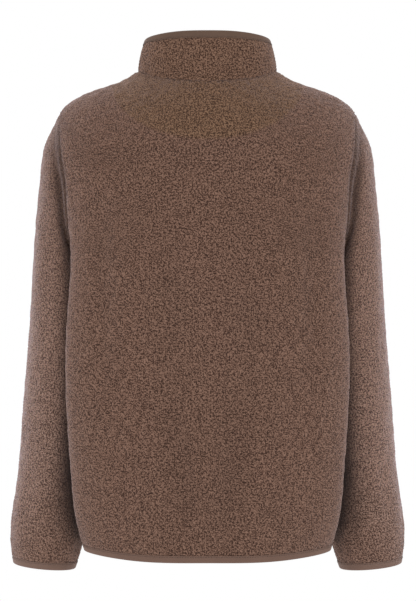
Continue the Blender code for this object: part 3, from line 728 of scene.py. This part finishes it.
def wall_mesh(name, outer, inner, flat, tube=False, step=1):
    """A closed wall between an outer grid of points and an inner one, coarser by the step, and
    which of its two materials each face has."""
    outer_ids = np.arange(outer.size // 3).reshape(outer.shape[:2])
    inner_ids = outer_ids.size + np.arange(inner.size // 3).reshape(inner.shape[:2])
    outer_ids, inner_ids = joined(outer_ids, tube), joined(inner_ids, tube)
    edges = [(outer_ids[-1], inner_ids[-1]), (outer_ids[0, ::-1], inner_ids[0, ::-1])]
    if not tube:
        edges += [(outer_ids[:, 0], inner_ids[:, 0]), (outer_ids[::-1, -1], inner_ids[::-1, -1])]
    rims = np.concatenate([rim(fine, coarse, step) for fine, coarse in edges])
    points = np.concatenate([outer.reshape(-1, 3), inner.reshape(-1, 3)])
    outside, inside = grid_corners(outer_ids), grid_corners(inner_ids)[:, ::-1]
    quads = np.concatenate([outside, inside])
    inner_flat = flat[::step, ::step]
    places = np.zeros((len(points), 2))
    places[outer_ids[:, ::-1]] = flat[:, ::-1]
    places[inner_ids[:, ::-1]] = inner_flat[:, ::-1]
    quad_places = np.concatenate([grid_corners(flat), grid_corners(inner_flat)[:, ::-1]])
    halves = np.concatenate([quads[:, (0, 1, 2)], quads[:, (0, 2, 3)], rims])
    first, second, third = points[halves].transpose(1, 0, 2)
    if np.einsum("fc,fc->", first, np.cross(second, third)) < 0:
        quads, rims, quad_places = quads[:, ::-1], rims[:, ::-1], quad_places[:, ::-1]
    creases = np.concatenate([np.column_stack([fine[:-1], fine[1:]]) for fine, _ in edges])
    data = mesh_of(name, points, quads, rims, creases)
    corner_places = np.concatenate([quad_places.reshape(-1, 2), places[rims].reshape(-1, 2)])
    data.uv_layers.new(name="cloth").data.foreach_set("uv", corner_places.astype(np.float32).ravel())
    material = np.zeros(len(data.polygons), np.int32)
    material[len(outside):len(quads)] = 1
    return data, material


def mesh_of(name, points, quads, triangles=(), creases=()):
    """A smooth-shaded mesh from arrays of points and faces, sharp along the given edges."""
    data = bpy.data.meshes.new(name)
    corners = np.concatenate([np.ravel(quads), np.ravel(triangles)]).astype(np.int32)
    sides = np.concatenate([np.full(len(quads), 4), np.full(len(triangles), 3)]).astype(np.int32)
    data.vertices.add(len(points))
    data.vertices.foreach_set("co", np.ascontiguousarray(points, np.float32).ravel())
    data.loops.add(len(corners))
    data.loops.foreach_set("vertex_index", corners)
    data.polygons.add(len(sides))
    data.polygons.foreach_set("loop_start", (np.cumsum(sides) - sides).astype(np.int32))
    data.update(calc_edges=True)
    data.shade_smooth()
    if len(creases):
        ends = np.empty(2 * len(data.edges), np.int32)
        data.edges.foreach_get("vertices", ends)
        keys = np.sort(ends.reshape(-1, 2), axis=1) @ (len(points), 1)
        sharp = np.isin(keys, np.sort(creases, axis=1) @ (len(points), 1))
        data.edges.foreach_set("use_edge_sharp", sharp)
    return data


def add_object(name, data):
    added = bpy.data.objects.new(name, data)
    bpy.context.scene.collection.objects.link(added)
    return added


def dress(name, data, node, slot, *finishes):
    """Put a finished mesh on the jacket, in place of its plain solid where it has one."""
    piece = add_object(name, data)
    for finish in finishes:
        data.materials.append(finish)
    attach(piece, "jacket")
    if node:
        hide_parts(node)
    return piece


def away_from(grid, edge):
    """Distance of each point of a grid from the edge's point in its own row or column."""
    return np.linalg.norm(grid - edge, axis=2)


def from_ends(grid):
    """Distance of each point of a grid from the first and from the last point of its row."""
    return away_from(grid, grid[:, :1]), away_from(grid, grid[:, -1:])


def seams_and_shade(grid, from_side, folds):
    """Each point's distance from the seams at the sides and the top of a body panel, and how much
    painted shade it gets in the folds, beside the sleeve and along the armhole."""
    below_arm = smooth_step((BESIDE_TOP - up_from_hem) / SHADE_FADE)[:, None]
    beside = BESIDE_SHADE * below_arm * smooth_step(1 - from_side / BESIDE_WIDTH)
    at_arm = smooth_step((SHOULDER_TIP_UP - up_from_hem) / SHADE_FADE)[:, None]
    near_arm = ARMHOLE_SHADE * at_arm * bump(from_side, ARMHOLE_SHADE_WIDTH)
    shade = np.maximum(fold_depth(grid, folds) * FOLD_SHADE, np.maximum(beside, near_arm))
    return np.minimum(from_side, away_from(grid, grid[-1:])), shade


def declare(grid, tube, rests_on):
    """Find the diagonals of the panel's grid, joined round where it is a tube; nothing uses them."""
    round_it = joined(grid, tube)
    diagonals = round_it[1:, 1:] - round_it[:-1, :-1], round_it[1:, :-1] - round_it[:-1, 1:]


def raise_pile(grid, normals, tube, name, seam, bound, lip, painted_shade, finish, rests_on):
    """One panel with its pile: nubs, tufts, grooves at its seams and a trim under its binding."""
    flat = laid_flat(grid, tube)
    own = flat[:, :grid.shape[1]]
    nubs = 0.5 + 0.5 * np.tanh(NUB_STEEPNESS * waves(own, NUB_SPACING, NUB_WAVES, seed=1))
    tufts = 0.5 + 0.5 * np.tanh(waves(own, TUFT_SPACING, TUFT_WAVES, seed=2))
    groove = bump(seam, GROOVE_HALF_WIDTH)
    folded = smooth_step(1 - lip / LIP_WIDTH)
    trimmed = smooth_step((PILE_START - bound) / (PILE_START - TRIMMED_START))[:, None]
    depth = NUB_DEPTH * (1 - nubs) + TUFT_DEPTH * tufts + GROOVE_DEPTH * groove + LIP_DEPTH * folded
    depth = np.minimum(depth, PILE_WALL - TRIM_DEPTH)
    depth = depth * (1 - trimmed) + TRIM_DEPTH * trimmed
    outer = grid - normals * depth[:, :, None]
    backing = PILE_WALL - TRIM_DEPTH * np.broadcast_to(trimmed, depth.shape)
    inner = (grid - normals * backing[:, :, None])[::INNER_STEP, ::INNER_STEP]
    data, material = wall_mesh("borg_" + name, outer, inner, flat, tube, INNER_STEP)
    data.polygons.foreach_set("material_index", material)
    # Both numbers set painted shade in the colour: the pile's height, lower in the seam grooves, and the
    # painted shade itself.
    height = nubs * (1 - 0.5 * groove)
    for carried, inside, outside in (("pile_height", 0.5, height), ("painted_shade", 0.0, painted_shade)):
        values = np.full(len(data.vertices), inside, np.float32)
        values[:nubs.size] = np.broadcast_to(outside, nubs.shape).ravel()
        data.attributes.new(carried, "FLOAT", "POINT").data.foreach_set("value", values)
    piece = dress("borg_" + name, data, name, "borg_pile", finish, knitted_back)
    declare(grid, tube, ["borg_" + below for below in rests_on])


knitted_back = knit_finish()
borg = borg_finish("borg_pile")
borg_with_moon = borg_finish("borg_pile_with_moon", MOON_TINT)
borg_of_collar = borg_finish("borg_pile_of_collar", COLLAR_TINT)
panels = (back, front_left, front_right, collar, sleeve_left, sleeve_right)
tubes = (False, False, False, False, True, True)
normals = sewn_normals(panels, tubes)
left_side, left_end = from_ends(front_left)
right_end, right_side = from_ends(front_right)
collar_ends = np.minimum(*from_ends(collar))
back_seams, back_shade = seams_and_shade(back, np.minimum(*from_ends(back)), BACK_FOLDS_MM)
left_seams, left_shade = seams_and_shade(front_left, left_side, FRONT_FOLDS_MM)
right_seams, right_shade = seams_and_shade(front_right, right_side, FRONT_FOLDS_MM)
underarm = sleeve_left[:, ARMHOLE_ROWS:ARMHOLE_ROWS + 1]
sleeve_seams = np.minimum(away_from(sleeve_left, sleeve_left[:1]), away_from(sleeve_left, underarm))
nowhere = np.inf
PILES = (
    # name, distances from the seams, the bound edge and the zip, painted shade, finish, what it rests on
    ("back", back_seams, up_from_hem, nowhere, back_shade, borg_with_moon, ()),
    ("front_left", left_seams, up_from_hem, left_end, left_shade, borg, ("back",)),
    ("front_right", right_seams, up_from_hem, right_end, right_shade, borg, ("back",)),
    ("collar", nowhere, collar_from_top, collar_ends, 0.0, borg_of_collar,
     ("back", "front_left", "front_right")),
    ("sleeve_left", sleeve_seams, sleeve_from_cuff, nowhere, painted_shade_left, borg, ("back", "front_left")),
    ("sleeve_right", sleeve_seams[:, ::-1], sleeve_from_cuff, nowhere, painted_shade_right, borg,
     ("back", "front_right")),
)
for grid, out, tube, pile in zip(panels, normals, tubes, PILES):
    raise_pile(grid, out, tube, *pile)

# The bindings of the hem, the cuffs and the collar.
# A smooth elastic strip is folded over each trimmed edge, 9.4 mm high on both faces, and held by
# one row of stitches near its free edges. It has fine ribs and puckers a little between stitches.
BINDING_HALF = 0.0018
BINDING_STRIP = 0.0009
BINDING_LIP = 0.3 * MM
BINDING_BROWN = (0.164, 0.094, 0.068, 1.0)
BINDING_DARK = (0.112, 0.063, 0.046, 1.0)
# The collar's strip is a darker copy of the same binding: painted shade against the light from above.
SHADED_COLLAR_BINDING_BROWN = (0.122, 0.071, 0.047, 1.0)
SHADED_COLLAR_BINDING_DARK = (0.085, 0.049, 0.033, 1.0)
BINDING_STEP = (0.15, 0.75)
BINDING_RELIEF = (0.0003, 0.5)
THREAD_BROWN = (0.075, 0.043, 0.032, 1.0)
THREAD_STEP = (0.2, 0.8)
THREAD_RELIEF = (0.0001, 0.5)
THREAD_SHADE = 0.7
TWIST_SPACING = 0.0004
PUCKER = 0.00016
PUCKER_SPACING = 0.0062
PUCKER_DRIFT = 1.5
PUCKER_DRIFT_LENGTH = 0.021
RIB_SPACING = 0.0011
LINT_SPACING = 0.0009
STRETCH_SPACING = 0.02
LEG_POINTS = 5
BEND_POINTS = 7
STITCH_LENGTH = 0.0029
STITCH_PITCH = 0.0034
STITCH_RADIUS = 0.00024
STITCH_PROUD = 0.3 * STITCH_RADIUS
STITCH_HEIGHT = 0.0078
STITCH_SIDES = 6
# Along a stitch: the place in lengths of it, and its thickness and its bow outwards in radii.
STITCH_STATIONS = ((-0.5, 0.45, -1.1), (-0.22, 1.0, 0.3), (0.22, 1.0, 0.3), (0.5, 0.45, -1.1))
STITCH_CAP = ((0, 1, 2, 3), (0, 3, 4, 5))


def binding_finish(name, light, dark):
    """A smooth ribbed elastic strip with a faint lustre."""
    finish, shader, place = new_finish(name, roughness=0.72, sheen=0.2, specular=0.3)
    height = place.ribs("Z", RIB_SPACING, 0.6).blend(place.noise(LINT_SPACING), 0.45)
    shade = height.blend(place.noise(STRETCH_SPACING, detail=1.0), 0.7)
    feed(shader, "Base Color", shade.ramp(*BINDING_STEP).mix(dark, light))
    raise_surface(shader, height, *BINDING_RELIEF)
    return finish


def shaded(colour, factor):
    return tuple(factor * part for part in colour[:3]) + (1.0,)


def thread_finish():
    """Twisted sewing thread, slightly glossy."""
    finish, shader, place = new_finish("sewing_thread", roughness=0.55, sheen=0.1, specular=0.4)
    twist = place.noise(TWIST_SPACING, detail=1.0)
    colour = twist.ramp(*THREAD_STEP).mix(shaded(THREAD_BROWN, THREAD_SHADE), THREAD_BROWN)
    feed(shader, "Base Color", colour)
    raise_surface(shader, twist, *THREAD_RELIEF)
    return finish


def folded_strip():
    """Section of the folded strip: places up from the edge and out from the cloth's middle."""
    bends = np.linspace(-math.pi / 2, math.pi / 2, BEND_POINTS)
    sides = []
    for half, lip in ((BINDING_HALF, -BINDING_LIP), (BINDING_HALF - BINDING_STRIP, BINDING_LIP)):
        leg_up = np.linspace(BINDING_HEIGHT, BINDING_HALF, LEG_POINTS)[:-1]
        leg_out = np.full(len(leg_up), half)
        leg_out[0] += lip
        sides.append((np.concatenate([leg_up, BINDING_HALF - half * np.cos(bends), leg_up[::-1]]),
                      np.concatenate([-leg_out, half * np.sin(bends), leg_out[::-1]])))
    return sides


def lay_on(end, start, end_normals, start_normals, up, out):
    """Points this far up from the bound edge and out from the cloth's middle, along the edge."""
    share = ((up - TRIMMED_END) / (TRIMMED_START - TRIMMED_END))[:, None, None]
    points = end * (1 - share) + start * share
    facing = unit(end_normals * (1 - share) + start_normals * share)
    return points + facing * (out[:, None, None] - PILE_WALL / 2)


def read_along(lengths, known_lengths, values):
    """Places or ways at these lengths along a line that has them at its own lengths."""
    return np.stack([np.interp(lengths, known_lengths, values[:, k]) for k in range(3)], axis=-1)


def form_faces(points, cap):
    """Faces of small closed forms, each from its own rings of points, turned to face outwards."""
    count, rings, sides = points.shape[:3]
    ids = np.arange(rings * sides).reshape(rings, sides)
    form = np.concatenate([grid_corners(joined(ids, True)), ids[0, cap], ids[-1, cap[:, ::-1]]])
    faces = (form + np.arange(count)[:, None, None] * ids.size).reshape(-1, 4)
    first, second, third, fourth = points.reshape(-1, 3)[faces].transpose(1, 0, 2)
    volume = np.einsum("fc,fc->", first, np.cross(second, third) + np.cross(third, fourth))
    return faces if volume > 0 else faces[:, ::-1]


def stitch_row(name, line, facing, tube):
    """A row of short stitches along a line of points, each a little bowed."""
    places = joined(line, tube, axis=0)
    lengths = lengths_along(places)
    count = int(lengths[-1] / STITCH_PITCH)
    middles = (np.arange(count) + 0.5) * lengths[-1] / count
    stations, thick, bow = np.array(STITCH_STATIONS).T
    along = middles[:, None] + stations * STITCH_LENGTH
    at = read_along(along, lengths, places)
    out = read_along(along, lengths, joined(facing, tube, axis=0))
    across = np.cross(out, unit(np.gradient(at, axis=1)))
    sides = 2 * math.pi * np.arange(STITCH_SIDES)[:, None] / STITCH_SIDES
    ring = np.cos(sides) * out[:, :, None] + np.sin(sides) * across[:, :, None]
    points = (at + out * (bow * STITCH_RADIUS)[:, None])[:, :, None]
    points = points + ring * (thick * STITCH_RADIUS)[:, None, None]
    data = mesh_of(name, points.reshape(-1, 3), form_faces(points, np.array(STITCH_CAP)))
    dress(name, data, None, "binding", thread)


def bind(name, node, end, start, end_normals, start_normals, tube, finish, *rests_on):
    """Fold a strip over one trimmed edge, with a row of stitches on each face."""
    lengths = lengths_along(joined(end, tube, axis=0))
    along = lengths[:len(end)]
    drift = PUCKER_DRIFT * np.sin(along / PUCKER_DRIFT_LENGTH)
    ripple = PUCKER * np.sin(2 * math.pi * along / PUCKER_SPACING + drift)
    edges = end, start, end_normals, start_normals
    walls = []
    for up, out in folded_strip():
        on_leg = np.clip((up - BINDING_HALF) / BINDING_HEIGHT, 0, 1) * np.sign(out)
        walls.append(lay_on(*edges, up, out) + end_normals * (on_leg[:, None] * ripple)[:, :, None])
    data = wall_mesh(name, *walls, laid_flat(walls[0], tube), tube)[0]
    piece = dress(name, data, node, "binding", finish)
    for face, side in (("outside", 1), ("inside", -1)):
        out = np.array([side * (BINDING_HALF + STITCH_PROUD)])
        line = lay_on(*edges, np.array([STITCH_HEIGHT]), out)[0]
        stitch_row(f"{name}_stitches_{face}", line, side * end_normals, tube)


def last_rows(number):
    """The last two rows of a panel's points, and of its normals."""
    return panels[number][-1], panels[number][-2], normals[number][-1], normals[number][-2]


thread = thread_finish()
ribbon = binding_finish("binding", BINDING_BROWN, BINDING_DARK)
# The collar's binding gets the darker copy, with painted shade in its colour.
shaded_collar_ribbon = binding_finish("collar_binding", SHADED_COLLAR_BINDING_BROWN, SHADED_COLLAR_BINDING_DARK)
hem = [np.concatenate([grids[2][row], grids[0][row, 1:-1], grids[1][row]])
       for grids in (panels, normals) for row in (0, 1)]
bind("bound_hem", "hem_binding", *hem, False, ribbon, "borg_back", "borg_front_left", "borg_front_right")
bind("bound_collar", "collar_binding", *last_rows(3), False, shaded_collar_ribbon, "borg_collar")
for number, hand in ((4, "left"), (5, "right")):
    bind("bound_cuff_" + hand, "cuff_binding_" + hand, *last_rows(number), True, ribbon,
         "borg_sleeve_" + hand)

# The zip up the front.
# Moulded teeth meet along the middle, on two woven tapes that are sewn behind the fronts and the
# collar's ends. A box joins the tapes at the hem, and two stops keep the slider on at the top.
CHAIN_DEPTH = 0.0048
TAPE_START = 0.0006
TAPE_WIDTH = 0.0162
TAPE_THICKNESS = 0.001
TAPE_BEAD = 0.0003
BEAD_FROM_EDGE = 0.0008
BEAD_HALF_WIDTH = 0.0006
# How far across the tape its points and its two rows of stitches lie, as shares of its width.
TAPE_SHARES = (0, 0.04, 0.08, 0.12, 0.28, 0.45, 0.6, 0.75, 0.9, 1)
TAPE_STITCHES = (0.45, 0.9)
# Columns of the front that a tape lies behind, and how far it is carried on past the first.
TAPE_COLUMNS = 12
CARRIED_ON = 2.5
BOX_HEIGHT = 0.010
SLIDER_BELOW_TOP = 0.003
SLIDER_NECK = 0.003
STOP_RISE = 0.0001
TOOTH_PITCH = 0.0026
TOOTH_ROOM = 0.0007
# Half of each moulded outline, from the tape to the tip: out from the tape's side of the middle
# and up from its own middle, in millimetres.
TOOTH_MM = ((2.9, 0.55), (1.6, 0.55), (0.9, 0.38), (0.3, 0.62), (-0.5, 0.60), (-0.8, 0.3))
STOP_MM = ((2.9, 0.95), (1.4, 1.05), (0.9, 0.8))
# Depth from the chain's middle and scale of each of the four layers of a moulded piece.
LAYERS_MM = ((-1.15, 0.85), (-0.85, 1.0), (0.85, 1.0), (1.15, 0.85))
SHARP_CORNER = math.radians(35)
TAPE_BROWN = (0.098, 0.056, 0.041, 1.0)
TAPE_DARK = (0.050, 0.029, 0.021, 1.0)
TAPE_STEP = (0.2, 0.8)
TAPE_RELIEF = (0.0002, 0.6)
WEAVE_SPACING = 0.0009
YARN_SPACING = 0.0007
TOOTH_BROWN = (0.085, 0.048, 0.035, 1.0)
PAINT_BROWN = (0.060, 0.040, 0.031, 1.0)
SPECK_STEP = (0.4, 0.7)
SPECK_RELIEF = (0.00008, 0.4)
SPECK_LIGHTER = 1.25
SPECK_ROUGHNESS = 0.2


def woven_finish():
    """Woven tape: a fine herringbone of ribs."""
    finish, shader, place = new_finish("woven_tape", roughness=0.8, sheen=0.15, specular=0.25)
    height = place.cloth().ribs("DIAGONAL", WEAVE_SPACING, 1.0).blend(place.noise(YARN_SPACING), 0.6)
    feed(shader, "Base Color", height.ramp(*TAPE_STEP).mix(TAPE_DARK, TAPE_BROWN))
    raise_surface(shader, height, *TAPE_RELIEF)
    return finish


def moulded_finish(name, colour, roughness, grain):
    """Moulded or painted brown with a fine grain, slightly worn to a lighter shade in spots."""
    finish, shader, place = new_finish(name, roughness, specular=0.5)
    speck = place.noise(grain, detail=3.0)
    feed(shader, "Base Color", speck.ramp(*SPECK_STEP).mix(colour, shaded(colour, SPECK_LIGHTER)))
    feed(shader, "Roughness", speck * SPECK_ROUGHNESS + (roughness - SPECK_ROUGHNESS / 2))
    raise_surface(shader, speck, *SPECK_RELIEF)
    return finish


def moulded(half_outline, lengths, side):
    """Points and faces of small moulded pieces on one side of the zip, at these lengths up it."""
    half = np.array(half_outline) * MM
    across, along = np.concatenate([half, half[::-1] * (1, -1)]).T
    middle = across.mean()
    places = read_along(lengths, zip_lengths, zip_places)
    out = unit(read_along(lengths, zip_lengths, zip_facing))
    up = unit(read_along(lengths, zip_lengths, np.gradient(zip_places, zip_lengths, axis=0)))
    layers = []
    for deep, scale in LAYERS_MM:
        layer = (places - out * (CHAIN_DEPTH + deep * MM))[:, None] + up[:, None] * (along * scale)[:, None]
        layer[:, :, 0] += side * (middle + (across - middle) * scale)
        layers.append(layer)
    points = np.stack(layers, axis=1)
    near = np.arange(len(half) - 1)[:, None]
    cap = np.concatenate([near, near + 1, len(across) - 2 - near, len(across) - 1 - near], axis=1)
    return points.reshape(-1, 3), form_faces(points, cap)


def zip_pieces(name, node, outline, left_lengths, right_lengths):
    """Moulded pieces on both sides of the zip, as one mesh."""
    left_points, left_faces = moulded(outline, left_lengths, 1)
    right_points, right_faces = moulded(outline, right_lengths, -1)
    faces = np.concatenate([left_faces, right_faces + len(left_points)])
    data = mesh_of(name, np.concatenate([left_points, right_points]), faces)
    data.set_sharp_from_angle(angle=SHARP_CORNER)
    dress(name, data, node, "zip_teeth", teeth_brown)


def tape(name, node, rows, side, *rests_on):
    """A woven tape behind one front edge and the collar's end, with a bead along the teeth."""
    shares = np.array(TAPE_SHARES)
    places = TAPE_START + TAPE_WIDTH * shares
    before = rows[:, :1] * (1 + CARRIED_ON) - rows[:, 1:2] * CARRIED_ON
    rows = np.concatenate([before, rows], axis=1)
    laid = np.array([read_along(places, side * row[:, 0], row) for row in rows])
    laid[:, :, 0] = side * places
    bead = TAPE_BEAD * bump(places - TAPE_START - BEAD_FROM_EDGE, BEAD_HALF_WIDTH)
    depth = PILE_WALL + SEAM_GAP * (1 + shares)
    facing = zip_facing[:, None]
    outer = laid - facing * (depth - bead)[:, None]
    inner = laid - facing * (depth + TAPE_THICKNESS + bead)[:, None]
    data = wall_mesh(name, outer, inner, laid_flat(laid, False))[0]
    piece = dress(name, data, node, "zip_tape", woven)
    for number, share in enumerate(TAPE_STITCHES, 1):
        line = inner[:, TAPE_SHARES.index(share)] - zip_facing * STITCH_PROUD
        stitch_row(f"{name}_stitches_{number}", line, -zip_facing, False)


left_edge = np.concatenate([front_left[:, -1], collar[1:, -1]])
right_edge = np.concatenate([front_right[:, 0], collar[1:, 0]])
zip_places = (left_edge + right_edge) / 2
zip_facing = unit(np.concatenate([normals[1][:, -1], normals[3][1:, -1]]) * (0, 1, 1))
zip_lengths = lengths_along(zip_places)
chain_end = zip_lengths[-1] - SLIDER_BELOW_TOP - SLIDER_NECK - SEAM_GAP
teeth_brown = moulded_finish("moulded_teeth", TOOTH_BROWN, roughness=0.45, grain=0.0006)
enamel = moulded_finish("brown_enamel", PAINT_BROWN, roughness=0.35, grain=0.0010)
woven = woven_finish()
first_tooth = BOX_HEIGHT + SEAM_GAP + TOOTH_ROOM
left_teeth = np.arange(first_tooth, chain_end - TOOTH_ROOM, TOOTH_PITCH)
right_teeth = np.arange(first_tooth + TOOTH_PITCH / 2, chain_end - TOOTH_ROOM, TOOTH_PITCH)
zip_pieces("zip_teeth", "zip_chain", TOOTH_MM, left_teeth, right_teeth)
stop_at = zip_lengths[-1:] - SLIDER_BELOW_TOP / 2 + STOP_RISE
zip_pieces("zip_stops", None, STOP_MM, stop_at, stop_at)
for hand, side, front, near in (("left", 1, front_left, slice(None, -TAPE_COLUMNS - 1, -1)),
                                ("right", -1, front_right, slice(TAPE_COLUMNS))):
    rows = np.concatenate([front[:, near], collar[1:, near]])
    tape("woven_tape_" + hand, "zip_tape_" + hand, rows, side, "borg_front_" + hand, "borg_collar")

# The box, the slider and its pull keep their solids' shape, with their edges rounded.
ROUNDED_CORNER = math.radians(40)
for node, finish, rounding in (("zip_box", teeth_brown, 0.0005), ("zip_slider", enamel, 0.00015),
                               ("zip_pull", enamel, 0.00015)):
    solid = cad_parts[node]
    solid.data.materials.clear()
    solid.data.materials.append(finish)
    edges = solid.modifiers.new("rounded_edges", "BEVEL")
    edges.width = rounding
    edges.segments = 2
    edges.limit_method = "ANGLE"
    edges.angle_limit = ROUNDED_CORNER

# The camera and the studio.
# The jacket is seen from behind, level with its middle, in front of white. Each side has a tall
# soft light and a narrow cool one on the sleeve. One more stands behind and one high in front.
CAMERA_DISTANCE = 2.5
CAMERA_HEIGHT = -0.305
CAMERA_ASIDE = -0.0007
LENS = 109.74
SENSOR = 36.0
FLOOR_HEIGHT = -1.40
FLOOR_RADIUS = 3.0
FLOOR_SIDES = 96
PAPER_LIGHT = (0.90, 0.90, 0.89, 1.0)
PAPER_DARK = (0.86, 0.86, 0.85, 1.0)
PAPER_GRAIN = 0.004
WHITE = (1.0, 1.0, 1.0)
COOL = (0.60, 0.80, 1.0)
# Each light's place, the point it faces, its colour, width, height, power and spread in degrees.
SIDE_LIGHTS = {
    "side_light": ((1.9, 0.2, -0.1), (0.2, 0, -0.3), WHITE, 1.0, 1.8, 1.6, 180),
    "sleeve_light": ((1.0, 2.0, -0.25), (0.38, 0, -0.27), COOL, 0.2, 0.7, 1.35, 10),
}
MIDDLE_LIGHTS = {
    "light_back": ((0, 2.8, -0.3), (0, 0, -0.4), WHITE, 2.0, 1.0, 7, 180),
    "light_front": ((0, -2.4, 1.8), (0, 0, -0.1), WHITE, 2.0, 1.0, 38, 180),
}

bpy.context.scene.view_settings.view_transform = "Standard"
camera = add_object("camera", bpy.data.cameras.new("camera"))
camera.data.lens = LENS
camera.data.sensor_width = SENSOR
camera.location = (CAMERA_ASIDE, CAMERA_DISTANCE, CAMERA_HEIGHT)
camera.rotation_euler = (math.radians(90), 0, math.radians(180))
bpy.context.scene.camera = camera


def softbox(side, name, place, toward, colour, width, height, power, spread):
    """A soft light on one side that faces a point, unseen by the camera."""
    light = add_object(name, bpy.data.lights.new(name, "AREA"))
    light.data.shape = "RECTANGLE"
    light.data.size = width
    light.data.size_y = height
    light.data.color = colour
    light.data.energy = power
    light.data.spread = math.radians(spread)
    light.visible_camera = False
    mirror = Vector((side, 1, 1))
    light.location = Vector(place) * mirror
    light.rotation_euler = ((Vector(toward) - Vector(place)) * mirror).to_track_quat("-Z", "Y").to_euler()


for side, lights in ((1, SIDE_LIGHTS), (-1, SIDE_LIGHTS), (1, MIDDLE_LIGHTS)):
    for name, light in lights.items():
        softbox(side, name, *light)

studio = bpy.data.worlds.new("studio")
studio.use_nodes = True
background = studio.node_tree.nodes["Background"].inputs
background["Color"].default_value = (*WHITE, 1.0)
background["Strength"].default_value = 1.0
bpy.context.scene.world = studio

floor_mesh = bmesh.new()
bmesh.ops.create_circle(floor_mesh, cap_ends=True, segments=FLOOR_SIDES, radius=FLOOR_RADIUS)
floor_data = bpy.data.meshes.new("floor")
floor_mesh.to_mesh(floor_data)
floor_mesh.free()
floor = add_object("floor", floor_data)
floor.location = (0, 0, FLOOR_HEIGHT)
paper, paper_shader, paper_place = new_finish("pale_paper", roughness=0.9)
feed(paper_shader, "Base Color", paper_place.noise(PAPER_GRAIN).mix(PAPER_DARK, PAPER_LIGHT))
floor_data.materials.append(paper)
